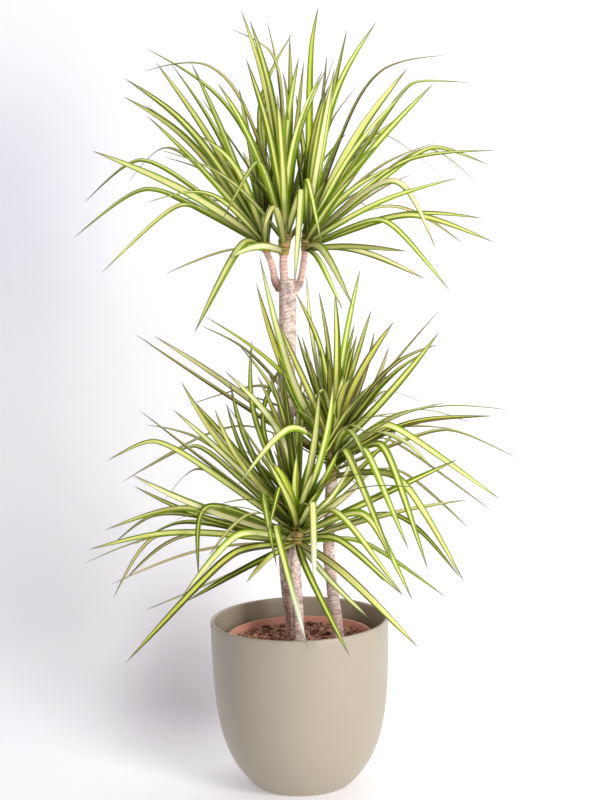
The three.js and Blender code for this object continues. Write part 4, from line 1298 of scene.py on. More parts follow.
def grid_skin(
    bm: Mesh, columns: int, rows: int, place: Callable[[float, float], Sequence[float]],
) -> list[Point]:
    """Adds a grid whose points move to where a formula says, with the UV map "skin" over it.

    Args:
        bm: The mesh to add to.
        columns: How many faces the grid has across.
        rows: How many it has along.
        place: Gives a point's place in millimetres from its shares across and along.

    Returns:
        The grid's points.
    """
    uv = bm.loops.layers.uv.get("skin") or bm.loops.layers.uv.new("skin")
    points = bmesh.ops.create_grid(bm, x_segments=columns, y_segments=rows, size=1.0)["verts"]
    faces = {face for point in points for face in point.link_faces}
    for face in faces:
        face.smooth = True
        for loop in face.loops:
            loop[uv].uv = ((loop.vert.co.x + 1) / 2, (loop.vert.co.y + 1) / 2)
    for point in points:
        point.co = MM * Vector(place((point.co.x + 1) / 2, (point.co.y + 1) / 2))
    return points


def remap(
    bm: Mesh, points: list[Point], rule: Callable[[float], float],
) -> None:
    """Moves a grid's rows in the UV map to where a rule says.

    Args:
        bm: The mesh.
        points: The grid's points.
        rule: Gives a row's new share along from its even one.
    """
    uv = bm.loops.layers.uv["skin"]
    for loop in {loop for point in points for loop in point.link_loops}:
        across, along = loop[uv].uv
        loop[uv].uv = (across, rule(along))


def close_seam(bm: Mesh, points: list[Point]) -> list[Point]:
    """Merges the two edges of a grid that was rolled into a tube, and gives the points left."""
    bmesh.ops.remove_doubles(bm, verts=points, dist=SEAM_MERGE)
    return [point for point in points if point.is_valid]


def fill_ends(bm: Mesh, points: list[Point]) -> None:
    """Closes a tube's open ends with flat faces."""
    edges = {edge for point in points for edge in point.link_edges if edge.is_boundary}
    bmesh.ops.holes_fill(bm, edges=list(edges), sides=0)


def turned(bm: Mesh, profile: Sequence[Span], steps: int) -> None:
    """Spins a profile round the Z axis into a closed skin.

    Args:
        bm: The mesh to add to.
        profile: Points of radius and height in millimetres, from axis to axis.
        steps: How many faces go round.
    """
    points = [bm.verts.new((radius * MM, 0, height * MM)) for radius, height in profile]
    edges = [bm.edges.new(pair) for pair in zip(points, points[1:])]
    bmesh.ops.spin(
        bm, geom=points + edges, cent=(0, 0, 0), axis=(0, 0, 1), angle=FULL_TURN, steps=steps,
        use_merge=True,
    )
    bmesh.ops.remove_doubles(bm, verts=bm.verts[:], dist=SPIN_MERGE)
    bmesh.ops.recalc_face_normals(bm, faces=bm.faces[:])
    for face in bm.faces:
        face.smooth = True


def carve(piece: Piece, cutter_bm: Mesh) -> None:
    """Cuts a shape out of a piece for good.

    Args:
        piece: The piece.
        cutter_bm: The shape to cut away, which this frees.
    """
    cutter = made_piece("cutter", cutter_bm, piece.data.materials[0])
    modifier = piece.modifiers.new("holes", "BOOLEAN")
    modifier.operation = "DIFFERENCE"
    modifier.solver = "EXACT"
    modifier.object = cutter
    depsgraph = bpy.context.evaluated_depsgraph_get()
    cut = bpy.data.meshes.new_from_object(piece.evaluated_get(depsgraph))
    piece.modifiers.clear()
    plain = piece.data
    piece.data = cut
    cut.name = plain.name
    bpy.data.meshes.remove(plain)
    bpy.data.objects.remove(cutter)


def smoothed(piece: Piece, levels: int) -> None:
    """Adds a subdivision surface to a piece."""
    modifier = piece.modifiers.new("smooth", "SUBSURF")
    modifier.levels = levels
    modifier.render_levels = levels


def thickened(piece: Piece, thickness: float) -> None:
    """Gives a sheet its thickness in millimetres, half to each side."""
    modifier = piece.modifiers.new("thickness", "SOLIDIFY")
    modifier.thickness = thickness * MM
    modifier.offset = 0.0


# ---- Pots and soil -----------------------------------------------


@dataclass
class CoverPot:
    """The ceramic cover pot: an outside that swells from the base and runs up to a round lip."""

    height: float = 265
    rim_radius: float = 140
    base_radius: float = 76
    bend: float = 57
    wall: float = 5.5
    floor: float = 7
    cove: float = 9
    foot_round: float = 1.6
    rows: int = 44
    crowding: float = 1.4
    lip_steps: int = 8
    cove_steps: int = 5
    steps: int = 128

    FOOT_ANGLES = (0.0, 0.5, 1.0)
    UNDERSIDE = ((0, 0), (60, 0))
    FLOOR_RING = 30

    def radius(self, z: float) -> float:
        """The outer radius at a height."""
        swell = (self.rim_radius - self.base_radius) / (1 - math.exp(-self.height / self.bend))
        return self.base_radius + swell * (1 - math.exp(-z / self.bend))

    def profile(self) -> list[Span]:
        """The wall's section, from the axis below to the axis on the floor.

        Returns:
            Points of radius and height.
        """
        lip = self.wall / 2
        shares = [(row / self.rows) ** self.crowding for row in range(self.rows + 1)]
        foot = [
            (self.radius(0) - self.foot_round * (1 - math.sin(angle)),
             self.foot_round * (1 - math.cos(angle)))
            for angle in self.FOOT_ANGLES
        ]
        outside = [lerp(self.foot_round, self.height - lip, share) for share in shares]
        arc = [
            (self.rim_radius - lip + lip * math.cos(angle), self.height - lip + lip * math.sin(angle))
            for angle in np.linspace(0, math.pi, self.lip_steps + 1)[1:-1]
        ]
        cove_top = self.floor + self.cove
        inside = [lerp(cove_top, self.height - lip, share) for share in reversed(shares)]
        corner = self.radius(cove_top) - self.wall
        bowl = [
            (corner - self.cove * (1 - math.cos(angle)), self.floor + self.cove * (1 - math.sin(angle)))
            for angle in np.linspace(0, math.pi / 2, self.cove_steps + 1)[1:]
        ]
        return [
            *self.UNDERSIDE, *foot, *((self.radius(z), z) for z in outside), *arc,
            *((self.radius(z) - self.wall, z) for z in inside), *bowl,
            (self.FLOOR_RING, self.floor), (0, self.floor),
        ]

    def build(self) -> Piece:
        """Builds and dresses the pot.

        Returns:
            The piece.
        """
        bm = bmesh.new()
        turned(bm, self.profile(), self.steps)
        glaze = Clay(
            "sage_glaze", body=0xAFA592, roughness=0.42, specular=0.38, coat=0.32, coat_roughness=0.36,
            scale=14.0, amount=0.05, specks=0.05, relief=0.00012)
        piece = made_piece("ceramic_cover_pot", bm, glaze.material())
        stand_for(piece, "cover_pot")
        return piece


@dataclass
class NurseryPot:
    """The plastic pot that the plant grows in, with a lip and drain holes."""

    height: float = 231.5
    rim_radius: float = 115
    base_radius: float = 73
    wall: float = 1.8
    floor: float = 2.2
    lip_height: float = 13
    lip_out: float = 2.6
    drain_radius: float = 5
    drain_ring: float = 45
    drain_count: int = 6
    foot: float = 7 + GAP
    wall_rows: int = 8
    steps: int = 112

    # The rounded edges: how far each point stands out from its wall, and up from its height.
    FOOT_EDGE = ((-3.0, 0.0), (-0.9, 1.2), (0.0, 4.0))
    LIP_FOOT = ((0.0, 0.0), (1.6, 0.3), (2.6, 1.6))
    LIP_OUTER = ((0.0, -1.4), (-0.5, -0.4), (-1.4, 0.0))
    LIP_INNER = ((0.5, 0.0), (0.0, -0.6))
    OUTER_FROM = 20
    INNER_FROM = 12

    def radius(self, z: float) -> float:
        """The outer radius below the lip, at a height."""
        return lerp(self.base_radius, self.rim_radius - self.lip_out, (z - self.foot) / self.height)

    def edge(
        self, z: float, out: float, points: Sequence[Span],
    ) -> list[Span]:
        """A rounded edge of the wall.

        Args:
            z: Its height.
            out: How far its wall stands out from the radius there.
            points: The edge's points, from that wall and height.

        Returns:
            Points of radius and height.
        """
        return [(self.radius(z) + out + aside, z + up) for aside, up in points]

    def profile(self) -> list[Span]:
        """The wall's section, from the axis below to the axis on the floor.

        Returns:
            Points of radius and height.
        """
        rim = self.foot + self.height
        lip = rim - self.lip_height
        floor = self.foot + self.floor
        outer = np.linspace(self.foot + self.OUTER_FROM, lip - 1, self.wall_rows)
        inner = np.linspace(lip, self.foot + self.INNER_FROM, self.wall_rows)
        return [
            (0, self.foot), *self.edge(self.foot, 0, self.FOOT_EDGE),
            *((self.radius(z), z) for z in outer), *self.edge(lip, 0, self.LIP_FOOT),
            *self.edge(rim, self.lip_out, self.LIP_OUTER), *self.edge(rim, -self.wall, self.LIP_INNER),
            *((self.radius(z) - self.wall, z) for z in inner),
            (self.radius(floor) - self.wall, floor), (0, floor),
        ]

    def build(self) -> Piece:
        """Builds and dresses the pot.

        Returns:
            The piece.
        """
        bm = bmesh.new()
        turned(bm, self.profile(), self.steps)
        plastic = Clay(
            "terracotta_plastic", body=0xD99A86, roughness=0.55, specular=0.35, scale=60.0, amount=0.16,
            specks=0.12, relief=0.0001)
        piece = made_piece("plastic_nursery_pot", bm, plastic.material())
        carve(piece, self.drills())
        stand_for(piece, "nursery_pot")
        return piece

    def drills(self) -> Mesh:
        """The plugs that the drain holes are cut with.

        Returns:
            The plugs.
        """
        bm = bmesh.new()
        for hole in range(self.drain_count):
            angle = FULL_TURN * hole / self.drain_count
            centre = round_place((0, 0, self.foot + self.floor / 2), self.drain_ring, angle)
            bmesh.ops.create_cone(
                bm, cap_ends=True, segments=24, radius1=self.drain_radius * MM,
                radius2=self.drain_radius * MM, depth=4 * self.floor * MM,
                matrix=Matrix.Translation(MM * Vector(centre)))
        return bm


@dataclass(frozen=True)
class Strand:
    """A fibre that bows to one side, by a share of half its length, and rises off the soil."""

    turn: float
    length: float
    bow: float
    radius: float
    rise: float


@dataclass
class Soil:
    """The soil: a low uneven dome with crumbs, chips of bark and fibres on it."""

    pot: NurseryPot
    depth: float = 223
    dome: float = 4
    dome_power: float = 2.2
    sunk: float = 0.6
    calm_edge: float = 0.06
    rings: int = 58
    steps: int = 150
    crumbs: int = 420
    chips: int = 60
    fibres: int = 46
    seed: int = 20
    cane_play: float = 0.5
    spot_margin: float = 1.5
    spot_spread: float = 1.2
    bedded: float = 0.25
    tilt: float = 0.5
    roughness: float = 0.55
    roughness_size: float = 1.3
    fibre_room: float = 7.0
    thinning: float = 0.6

    # The lumps of its surface: how wide, which level of the noise, how high.
    LUMPS = ((26, 3.1, 2.2), (7, 8.7, 1.5), (2.6, 1.9, 0.7))
    # The least and most that a crumb is stretched by, along each of its axes.
    STRETCHES = ((0.9, 1.5), (0.6, 1.0), (0.45, 0.8))
    # A curled root end left of the canes.
    ROOT_SPOT = (-34.0, 22.0)
    ROOT_END = (
        Strand(0.4, 17.0, 1.5, 0.45, 5.0), Strand(2.6, 17.0, -1.1, 0.45, 7.0),
        Strand(1.2, 17.0, 0.8, 0.45, 8.0),
    )
    ANY_WAY = 6.3

    def __post_init__(self) -> None:
        """Works out the soil's foot, top and rim."""
        self.foot = self.pot.foot + self.pot.floor + GAP
        self.top = self.foot + self.depth
        self.edge = self.pot.wall + 2 * GAP
        self.rim = self.pot.radius(self.top - self.dome) - self.edge

    def surface(self, x: float, y: float) -> float:
        """The height of the soil's top, a low dome with lumps that fade out at its rim.

        Args:
            x: The place's x.
            y: The place's y.

        Returns:
            The height there.
        """
        out = math.hypot(x, y) / self.rim
        dome = self.top - self.dome * out ** self.dome_power
        lumps = sum(
            height * noise.noise(Vector((x / size, y / size, level))) for size, level, height in self.LUMPS)
        calm = clamp((1 - out) / self.calm_edge, 0, 1)
        return dome - self.sunk + calm * lumps

    def build(self) -> list[Piece]:
        """Builds and dresses the bed, the crumbs, the chips and the fibres.

        Returns:
            The pieces.
        """
        crumb = Earth("crumbs", roughness=0.95, specular=0.2)
        bark = Earth("bark_chips", roughness=0.9, specular=0.25, dark=0x43261B, light=0xA06C55, scale=90.0)
        pieces = [
            self.bed(), self.scatter("soil_crumbs", self.crumbs, (1.5, 4.4), crumb),
            self.scatter("bark_chips", self.chips, (4.0, 8.0), bark), self.strands(),
        ]
        for piece in pieces:
            stand_for(piece, "soil")
        return pieces

    def bed(self) -> Piece:
        """Builds the bed, with a plain hole round each cane.

        Returns:
            The piece.
        """
        foot_radius = self.pot.radius(self.foot) - self.edge
        top = [(self.rim * (1 - ring / self.rings), self.top) for ring in range(1, self.rings + 1)]
        bm = bmesh.new()
        side = [(0, self.foot), (foot_radius, self.foot), (self.rim, self.top - self.dome)]
        turned(bm, side + top, self.steps)
        for point in bm.verts:
            if point.co.z > (self.top - 2 * self.dome) * MM:
                point.co.z = self.surface(point.co.x / MM, point.co.y / MM) * MM
        piece = made_piece("soil_bed", bm, Earth("soil", roughness=0.97, specular=0.15).material())
        cutter = bmesh.new()
        for name, cane in CANES.items():
            Cane(name, cane).plain_tube(cutter, 1.5 * GAP + self.cane_play)
        carve(piece, cutter)
        return piece

    def clear_spot(self, rng: random.Random, size: float) -> Span | None:
        """A random place on the soil that is clear of the canes and the pot.

        Args:
            rng: Where the random draws come from.
            size: How much room it needs to each side.

        Returns:
            The place, or None where a cane stands in it.
        """
        ring = (self.rim - size - 1) * math.sqrt(rng.random())
        x, y, _ = round_place((0, 0, 0), ring, rng.uniform(0, FULL_TURN))
        room = self.spot_spread * size + self.spot_margin
        for cane in CANES.values():
            foot = cane.axis[1]
            if math.hypot(x - foot[0], y - foot[1]) < cane.foot_radius + room:
                return None
        return x, y

    def scatter(
        self, name: str, count: int, sizes: Span, finish: Finish,
    ) -> Piece:
        """Scatters rough lumps over the soil.

        Args:
            name: The piece's name.
            count: How many lumps.
            sizes: The smallest and the largest radius.
            finish: Their finish.

        Returns:
            The piece.
        """
        rng = random.Random(self.seed + count)
        bm = bmesh.new()
        for _ in range(count):
            size = lerp(*sizes, rng.random() ** 2)
            stretch = [rng.uniform(*span) for span in self.STRETCHES]
            tilts = [rng.uniform(-self.tilt, self.tilt) for _ in range(2)]
            turn = Euler([*tilts, rng.uniform(0, self.ANY_WAY)]).to_matrix()
            spot = self.clear_spot(rng, size * stretch[0])
            if not spot:
                continue
            lump = bmesh.ops.create_icosphere(bm, subdivisions=2, radius=size * MM)["verts"]
            centre = MM * Vector((*spot, self.surface(*spot) + self.bedded * size * stretch[2]))
            for point in lump:
                grain = point.co / (size * MM) * self.roughness_size + 40 * centre / MM
                rough = 1 + self.roughness * noise.noise(grain)
                point.co = centre + turn @ Vector(rough * c * s for c, s in zip(point.co, stretch))
        for face in bm.faces:
            face.smooth = True
        return made_piece(name, bm, finish.material())

    def strands(self) -> Piece:
        """Builds the coir fibres that lie over the soil, and the root end.

        Returns:
            The piece.
        """
        rng = random.Random(self.seed)
        bm = bmesh.new()
        for _ in range(self.fibres):
            spot = self.clear_spot(rng, self.fibre_room)
            if spot:
                turn, length = rng.uniform(0, self.ANY_WAY), rng.uniform(5, 12)
                self.add_strand(bm, spot, Strand(turn, length, rng.uniform(-0.6, 0.6), 0.22, 1.2))
        for strand in self.ROOT_END:
            self.add_strand(bm, self.ROOT_SPOT, strand)
        straw = Clay("dry_fibre", body=0xC9A98C, roughness=0.85, specular=0.2, scale=200.0, amount=0.5)
        return made_piece("coir_fibres", bm, straw.material())

    def add_strand(self, bm: Mesh, spot: Span, strand: Strand) -> None:
        """Adds one curved fibre.

        Args:
            bm: The mesh to add to.
            spot: Its middle.
            strand: The fibre.
        """
        cos, sin = math.cos(strand.turn), math.sin(strand.turn)

        def place(around: float, share: float) -> Place:
            """The strand's place, bowed and raised at its middle."""
            run = strand.length * (share - 0.5)
            aside = strand.bow * strand.length / 2 * (1 - (2 * share - 1) ** 2)
            x, y = spot[0] + run * cos - aside * sin, spot[1] + run * sin + aside * cos
            thin = strand.radius * (1 - self.thinning * share)
            z = self.surface(x, y) + GAP + strand.rise * math.sin(math.pi * share) ** 2
            out, up, _ = round_place((0, 0, 0), thin, FULL_TURN * around)
            return x - out * sin, y + out * cos, z + up
        fill_ends(bm, close_seam(bm, grid_skin(bm, 5, 9, place)))


# ---- Canes -------------------------------------------------------


@dataclass
class Cane:
    """A cane with rings of leaf scars, and the shoots that grow from its top."""

    name: str
    size: CaneSize
    shoots: tuple[ShootSize, ...] = ()
    sides: int = 40
    ring_step: float = 1.1
    plain_sides: int = 28
    plain_rows: int = 40
    buried_depth: float = 20
    settling: float = 0.25
    crown_height: float = 2.2
    crown_draw: float = 0.35
    # The bark between two scars: how far it bulges and how lumpy it is.
    bulge: float = 0.5
    bulge_power: float = 0.6
    sunk: float = 0.2
    lumps: float = 0.45
    # The scars: how deep and wide, and how far they stray from their even pitch.
    groove: float = 0.75
    groove_width: float = 0.75
    groove_vary: float = 0.45
    faint_groove: float = 0.2
    faint_width: float = 0.5
    faint_shade: float = 0.35
    stray: float = 3.0

    SOIL_TOP = 232.8

    def __post_init__(self) -> None:
        """Measures the cane's axis."""
        self.spline = Spline(self.size.axis)
        buried = self.SOIL_TOP - self.buried_depth - self.size.axis[0][2]
        self.buried = buried / self.spline.length

    def plain_radius(self, share: float) -> float:
        """The cane's radius without its scars, at a share of its length."""
        settled = clamp((share - self.buried) / self.settling, 0, 1)
        return lerp(self.size.foot_radius, self.size.radius, settled)

    def wandered(self, angle: float, run: float) -> float:
        """The distance along, shifted by how the scars lean and stray there.

        Args:
            angle: The way round.
            run: The distance along.

        Returns:
            The shifted distance.
        """
        seed = self.size.seed
        lean = 1.2 * math.sin(angle + seed + run / 40) + 0.9 * math.sin(2 * angle + 2.3 * seed - run / 23)
        return run + lean + self.stray * around_noise(angle, 0.7, run / 17 + seed)

    def scar(self, angle: float, run: float) -> Span:
        """The bark's relief at a place on the cane.

        Args:
            angle: The way round.
            run: The distance along.

        Returns:
            How far the bark stands out, and how dark the scar line is there.
        """
        seed, pitch = self.size.seed, self.size.pitch
        ring, cell = divmod(self.wandered(angle, run) / pitch, 1)
        halfway = (cell + 0.5) % 1
        strength = 1 - self.groove_vary * (1 - math.sin(12.9 * seed + 2.1 * ring))
        line = strength * math.exp(-(min(cell, 1 - cell) * pitch / self.groove_width) ** 2)
        faint = math.exp(-(min(halfway, 1 - halfway) * pitch / self.faint_width) ** 2)
        swell = self.bulge * math.sin(math.pi * cell) ** self.bulge_power
        relief = swell - self.sunk + self.lumps * around_noise(angle, 1.4, run / 6 + 2 * seed)
        relief -= self.groove * line + self.faint_groove * faint
        return relief, clamp(line + self.faint_shade * faint, 0, 1)

    def plain_tube(self, bm: Mesh, extra: float) -> None:
        """Adds the cane's plain form, made fatter and longer, for cutting its hole.

        Args:
            bm: The mesh to add to.
            extra: How much fatter and longer.
        """
        def place(around: float, share: float) -> Place:
            """The plain tube's place."""
            x, y, z = self.spline.along(share)
            foot = z - (extra if share == 0 else 0)
            return round_place((x, y, foot), self.plain_radius(share) + extra, FULL_TURN * around)
        fill_ends(bm, close_seam(bm, grid_skin(bm, self.plain_sides, self.plain_rows, place)))
        bmesh.ops.recalc_face_normals(bm, faces=bm.faces[:])

    def build(self) -> Piece:
        """Builds and dresses the cane.

        Returns:
            The piece.
        """
        bm = bmesh.new()
        wood = bm.verts.layers.float_color.new("wood")
        self.add_stem(bm, wood)
        for shoot in self.shoots:
            Shoot(shoot).add(bm, wood)
        bmesh.ops.recalc_face_normals(bm, faces=bm.faces[:])
        bark = Bark("cane_bark", roughness=0.8, specular=0.25)
        piece = made_piece(self.name + "_wood", bm, bark.material())
        stand_for(piece, self.name)
        return piece

    def add_stem(self, bm: Mesh, wood: object) -> None:
        """Adds the cane itself, ring by ring.

        Args:
            bm: The mesh to add to.
            wood: The layer of scars, youth and collar shade.
        """
        rows = round(self.spline.length / self.ring_step)
        centres = [self.spline.along(row / rows) for row in range(rows + 1)]

        def place(around: float, share: float) -> Place:
            """The cane's place, with its ridges, scars and rounded top."""
            angle = FULL_TURN * (around % 1)
            run = share * self.spline.length
            rounded = clamp((run - self.spline.length) / self.crown_height + 1, 0, 1) ** 3
            crown = 1 - self.crown_draw * rounded if self.shoots else 1
            radius = (self.plain_radius(share) + self.scar(angle, run)[0]) * crown
            return round_place(centres[round(share * rows)], radius, angle)
        points = close_seam(bm, grid_skin(bm, self.sides, rows, place))
        for point in points:
            run = point.co.z / MM - self.size.axis[0][2]
            x, y, _ = centres[clamp(round(run / self.spline.length * rows), 0, rows)]
            angle = math.atan2(point.co.y / MM - y, point.co.x / MM - x) % FULL_TURN
            point[wood] = (self.scar(angle, run)[1], 0, 0, 1)
        fill_ends(bm, points)


@dataclass
class Shoot:
    """A shoot of the tall cane: ringed young wood above a swollen, darker collar."""

    size: ShootSize
    sides: int = 24
    rows: int = 46
    rings: int = 9
    ring_depth: float = 0.28
    lumps: float = 0.5
    collar_end: float = 0.45
    ring_shade: float = 0.35
    ring_lag: float = 1.4

    def add(self, bm: Mesh, wood: object) -> None:
        """Adds the shoot to its cane.

        Args:
            bm: The mesh to add to.
            wood: The layer of scars, youth and collar shade.
        """
        spline = Spline(self.size.path)

        def place(around: float, share: float) -> Place:
            """The shoot's place, swollen at its collar."""
            centre = spline.along(share)
            angle = FULL_TURN * (around % 1)
            swollen = lerp(self.size.collar, self.size.radius, clamp(share / self.collar_end, 0, 1))
            sway = 0.3 * math.sin(angle + share * 7)
            ring = self.ring_depth * math.sin(FULL_TURN * (share * self.rings + sway))
            lump = self.lumps * around_noise(angle, 1.0, centre[2] / 5)
            return round_place(centre, swollen + (ring + lump) * (1.3 - share), angle)
        points = grid_skin(bm, self.sides, self.rows, place)
        heights = [point.co.z for point in points]
        low, high = min(heights), max(heights)
        points = close_seam(bm, points)
        for point in points:
            share = (point.co.z - low) / (high - low)
            line = 0.5 + 0.5 * math.sin(FULL_TURN * (share * self.rings) - self.ring_lag)
            dark = self.size.shade * clamp(1.6 - 3.4 * share, 0, 1)
            point[wood] = (self.ring_shade * line ** 4, clamp(2.5 * share - 0.3, 0, 1), dark, 1)
        fill_ends(bm, points)


# ---- Heads of leaves ---------------------------------------------


@dataclass
class SheathedStem:
    """A head's leafy stem: a slim core, and short sleeves round it that are the leaves' bases."""

    size: HeadSize
    core_sides: int = 18
    core_rows: int = 16
    core_share: float = 0.9
    sheaths: int = 9
    sheath_step: float = 0.075
    sheath_height: float = 14.0
    sheath_sides: int = 20
    sheath_rows: int = 8
    clear: float = 0.4
    flare: float = 1.6
    wall: float = 0.5
    least_drawn: float = 0.6
    most_drawn: float = 0.55

    # The stem's radius at shares of its height, against its radius at the foot.
    HEIGHTS = (0, 0.25, 0.5, 0.75, 1)
    RADII = (1.0, 1.2, 1.0, 0.65, 0.03)

    def radius(self, share: float) -> float:
        """The stem's radius at a share of its height."""
        return self.size.core * float(np.interp(share, self.HEIGHTS, self.RADII))

    def build(self) -> Piece:
        """Builds and dresses the stem and its sheaths.

        Returns:
            The piece.
        """
        def core(around: float, share: float) -> Place:
            """The core's place."""
            radius = self.core_share * self.radius(share)
            return round_place(self.size.stem_at(share), radius, FULL_TURN * around)
        bm = bmesh.new()
        fill_ends(bm, close_seam(bm, grid_skin(bm, self.core_sides, self.core_rows, core)))
        for number in range(self.sheaths):
            self.add_sheath(bm, number * self.sheath_step, number * GOLDEN_ANGLE)
        bmesh.ops.recalc_face_normals(bm, faces=bm.faces[:])
        dress = Sheath("leaf_sheath", roughness=0.5, specular=0.35)
        return made_piece(self.size.node.replace("leaves", "sheaths"), bm, dress.material())

    def add_sheath(self, bm: Mesh, start: float, turn: float) -> None:
        """Adds one sheath: a short sleeve, out and back, with one side drawn up toward its leaf.

        Args:
            bm: The mesh to add to.
            start: The share of the stem's height at which the sheath starts.
            turn: The direction of its drawn-up side.
        """
        stem = float(np.linalg.norm(self.size.stem_at(1.0) - self.size.stem_at(0.0)))

        def place(around: float, share: float) -> Place:
            """The sheath's place: up its outside, then down its inside."""
            folded = share * 2 if share <= 0.5 else 2 - share * 2
            inner = self.wall if share > 0.5 else 0.0
            angle = FULL_TURN * around
            drawn = self.least_drawn + self.most_drawn * max(0.0, math.cos(angle - turn)) ** 2
            at = min(start + self.sheath_height / stem * folded * drawn, 1)
            radius = self.radius(start) + self.clear + self.flare * folded - inner
            return round_place(self.size.stem_at(at), radius, angle)
        points = grid_skin(bm, self.sheath_sides, self.sheath_rows, place)
        remap(bm, points, lambda along: 1 - abs(2 * along - 1))
        close_seam(bm, points)


@dataclass
class LeafHead:
    """A head of leaves: the blades, and the sheathed stem that they grow from."""

    size: HeadSize
    leaves: list[Leaf]
    columns: int = 4
    rows: int = 14
    thickness: float = 0.55
    crowding: float = 2.6
    crowded_from: float = 0.6
    # The blade's outline: its width at the root, how fast it widens, how its tip tapers.
    root_width: float = 0.8
    widening: float = 1.1
    tip_start: float = 4
    tip_power: float = 0.85
    # Its section: a channel, deeper where the root clasps the stem, and its twist.
    channel: float = 0.26
    clasp: float = 0.8
    clasp_length: float = 0.07
    keel: float = 0.4
    twist: float = 0.35
    # How much one leaf's colours differ from the next's.
    pale_vary: float = 0.3
    green_vary: float = 0.8
    band_vary: float = 0.24
    band_span: Span = (0.05, 0.9)
    middle_vary: float = 0.2

    def half_width(self, leaf: Leaf, shares: Array) -> Array:
        """Half the leaf's width at shares of its length: a long taper to the tip."""
        grown = np.minimum(1, self.root_width + self.widening * shares)
        return 0.5 * leaf.wide * grown * (1 - shares ** self.tip_start) ** self.tip_power

    def stations(self, leaf: Leaf) -> Array:
        """Where the blade's cross rows lie: closer together round a sharp bend.

        Args:
            leaf: The leaf.

        Returns:
            Shares of its length.
        """
        even = np.linspace(-1, 1, self.rows + 1)
        crowd = 1 + self.crowding * max(0.0, leaf.fold - self.crowded_from)
        past = np.sign(even) * np.abs(even) ** crowd
        line = leaf.line
        return (line.near + np.where(past < 0, line.near, line.far) * past) / (line.near + line.far)

    def add_blade(self, bm: Mesh, leaf: Leaf, number: int) -> list[Point]:
        """Adds a leaf's blade: a folded strip along its line.

        Args:
            bm: The mesh to add to.
            leaf: The leaf.
            number: Its place in the head, which its twist comes from.

        Returns:
            The blade's points.
        """
        shares = self.stations(leaf)
        places, tangents = leaf.line.places(shares), leaf.line.tangents(shares)
        flat = leaf.flat + self.twist * (2 * even_share(number, 2) - 1) * shares ** 2
        lying = leaf.side - tangents * (tangents @ leaf.side)[:, None]
        lying /= np.linalg.norm(lying, axis=1)[:, None]
        standing = np.cross(tangents, lying)
        aside = lying * np.sin(flat)[:, None] + standing * np.cos(flat)[:, None]
        up = np.cross(aside, tangents)
        half = self.half_width(leaf, shares)
        clasped = (self.clasp - self.channel) * np.exp(-shares / self.clasp_length)
        depth = half * (self.channel + clasped)

        def place(across: float, along: float) -> Array:
            """The blade's place at shares across and along it."""
            row, out = round(along * self.rows), 2 * across - 1
            rise = depth[row] * (abs(out) - self.keel)
            return places[row] + aside[row] * half[row] * out + up[row] * rise
        points = grid_skin(bm, self.columns, self.rows, place)
        remap(bm, points, lambda along: float(shares[round(along * self.rows)]))
        return points

    def colours(self, leaf: Leaf, number: int) -> tuple[Colour, Colour]:
        """What the striped finish reads off a leaf.

        Args:
            leaf: The leaf.
            number: Its place in the head, which its small differences come from.

        Returns:
            Its tone (paleness, greenness, phase, bleached tip) and its trait (dryness, the band's
            width, the band's middle, and 1).
        """
        pale, green, bleached, dry, band = leaf.tone.value
        vary, phase, shift = (even_share(number, kind) for kind in range(3))
        pale += self.pale_vary * (vary - 0.5)
        green -= self.green_vary * (vary - 0.5)
        band = clamp(band + self.band_vary * (phase - 0.5), *self.band_span)
        middle = 0.5 + self.middle_vary * (shift - 0.5)
        return (clamp(pale, 0, 1), clamp(green, 0, 1), phase, bleached), (dry, band, middle, 1)

    def build(self) -> list[Piece]:
        """Builds and dresses the head.

        Returns:
            The blades and the sheathed stem.
        """
        bm = bmesh.new()
        layers = [bm.verts.layers.float_color.new(name) for name in ("tone", "trait")]
        for number, leaf in enumerate(self.leaves):
            points = self.add_blade(bm, leaf, number)
            for layer, colour in zip(layers, self.colours(leaf, number)):
                for point in points:
                    point[layer] = colour
        dress = Striped("striped_leaf", roughness=0.42, specular=0.25)
        blades = made_piece(self.size.node.replace("leaves", "blades"), bm, dress.material())
        thickened(blades, self.thickness)
        smoothed(blades, 1)
        pieces = [blades, SheathedStem(self.size).build()]
        for piece in pieces:
            stand_for(piece, self.size.node)
        return pieces


# ---- The studio --------------------------------------------------


@dataclass(frozen=True)
class Lamp:
    """A square area light: where it stands, what it points at, its side, watts and colour."""

    name: str
    place: Place
    aim: Place
    size: float
    power: float
    colour: Place

    def add(self) -> None:
        """Adds the light to the scene."""
        data = bpy.data.lights.new(self.name, "AREA")
        data.size = self.size
        data.energy = self.power
        data.color = self.colour
        facing = (Vector(self.aim) - Vector(self.place)).to_track_quat("-Z", "Y")
        light = bpy.data.objects.new(self.name, data)
        light.matrix_world = Matrix.Translation(self.place) @ facing.to_matrix().to_4x4()
        bpy.context.scene.collection.objects.link(light)


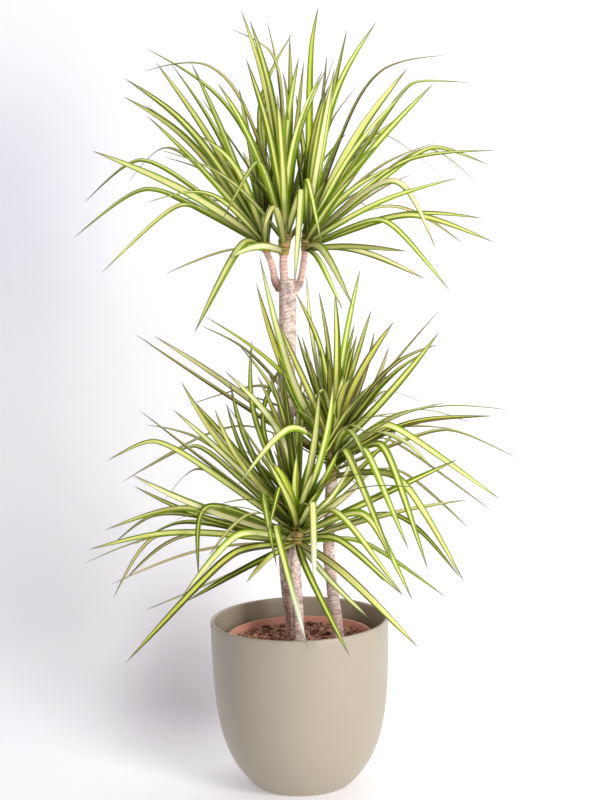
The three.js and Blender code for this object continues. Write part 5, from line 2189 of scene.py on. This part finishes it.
@dataclass
class Studio:
    """The camera at the photo's angle, soft lights and a pale sweep."""

    camera_place: Place = (EYE_X * MM, -EYE_DISTANCE * MM, EYE_HEIGHT * MM)
    pitch: float = 7.8
    roll: float = 1.4
    lens: float = 82.17
    sensor: float = 36.0
    sweep_start: float = 0.30
    sweep_round: float = 0.6
    sweep_steps: int = 24
    sweep_height: float = 4.0
    sweep_half_width: float = 9.0
    sweep_front: float = 9.0
    sweep_drop: float = 0.0004
    air_colour: Colour = (0.97, 0.95, 1.0, 1.0)
    air_strength: float = 0.13

    LAMPS = (
        Lamp("key", (1.75, -2.2, 1.7), (0, 0, 0.5), 0.9, 52.0, (1.0, 0.985, 0.96)),
        Lamp("front", (1.3, -2.3, 0.55), (0, 0, 0.25), 0.7, 21.0, (1.0, 0.985, 0.97)),
        Lamp("top", (0.3, -0.2, 2.9), (0, 0, 0.5), 1.6, 14.0, (1.0, 1.0, 1.0)),
        Lamp("side", (2.6, 0.1, 0.9), (0, 0, 0.45), 1.8, 1.5, (1.0, 0.99, 1.0)),
    )

    def add_camera(self) -> None:
        """Adds the camera, looking along +Y, a little down and turned clockwise."""
        data = bpy.data.cameras.new("camera")
        data.lens = self.lens
        data.sensor_width = self.sensor
        camera = bpy.data.objects.new("camera", data)
        tilt = Matrix.Rotation(math.radians(90 - self.pitch), 4, "X")
        spin = Matrix.Rotation(math.radians(-self.roll), 4, "Z")
        camera.matrix_world = Matrix.Translation(self.camera_place) @ tilt @ spin
        bpy.context.scene.collection.objects.link(camera)
        bpy.context.scene.camera = camera

    def add_sweep(self) -> None:
        """Adds the floor, which curves up behind the plant."""
        arc = [
            (self.sweep_start + self.sweep_round * math.sin(angle), self.sweep_round * (1 - math.cos(angle)))
            for angle in np.linspace(0, math.pi / 2, self.sweep_steps + 1)
        ]
        line = [(-self.sweep_front, 0.0), *arc, (self.sweep_start + self.sweep_round, self.sweep_height)]
        bm = bmesh.new()
        points = [bm.verts.new((-self.sweep_half_width, y, z - self.sweep_drop)) for y, z in line]
        edges = [bm.edges.new(pair) for pair in zip(points, points[1:])]
        grown = bmesh.ops.extrude_edge_only(bm, edges=edges)["geom"]
        moved = [item for item in grown if isinstance(item, Point)]
        bmesh.ops.translate(bm, verts=moved, vec=(2 * self.sweep_half_width, 0, 0))
        for face in bm.faces:
            face.smooth = True
            if face.normal.z < -0.01 or face.normal.y > 0.01:
                face.normal_flip()
        paper = Paper("sweep_paper", roughness=0.9, specular=0.1, glow=0.27)
        made_piece("pale_sweep", bm, paper.material())

    def build(self) -> None:
        """Adds the lights, the soft light from all round, and the sweep."""
        for lamp in self.LAMPS:
            lamp.add()
        world = bpy.data.worlds.new("soft_light")
        world.use_nodes = True
        background = world.node_tree.nodes["Background"]
        background.inputs["Color"].default_value = self.air_colour
        background.inputs["Strength"].default_value = self.air_strength
        bpy.context.scene.world = world
        bpy.context.scene.view_settings.view_transform = "Standard"
        self.add_sweep()


# ---- The plant ---------------------------------------------------


def main() -> None:
    """Loads the frame, builds every piece in order, and logs how many leaves each head has."""
    logging.basicConfig(level=logging.INFO, format="%(message)s")
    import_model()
    studio = Studio()
    studio.add_camera()
    studio.build()
    add_mottle_group()
    add_fibre_group()
    CoverPot().build()
    nursery_pot = NurseryPot()
    nursery_pot.build()
    Soil(nursery_pot).build()
    for name, size in CANES.items():
        Cane(name, size, SHOOTS if name == "tall_cane" else ()).build()
    leaves = Crown().grow()
    for head in HEADS.values():
        own = [leaf for leaf in leaves if leaf.head is head]
        LeafHead(head, own).build()
        LOG.info("%s has %d leaves", head.node, len(own))


if __name__ == "__main__":
    main()
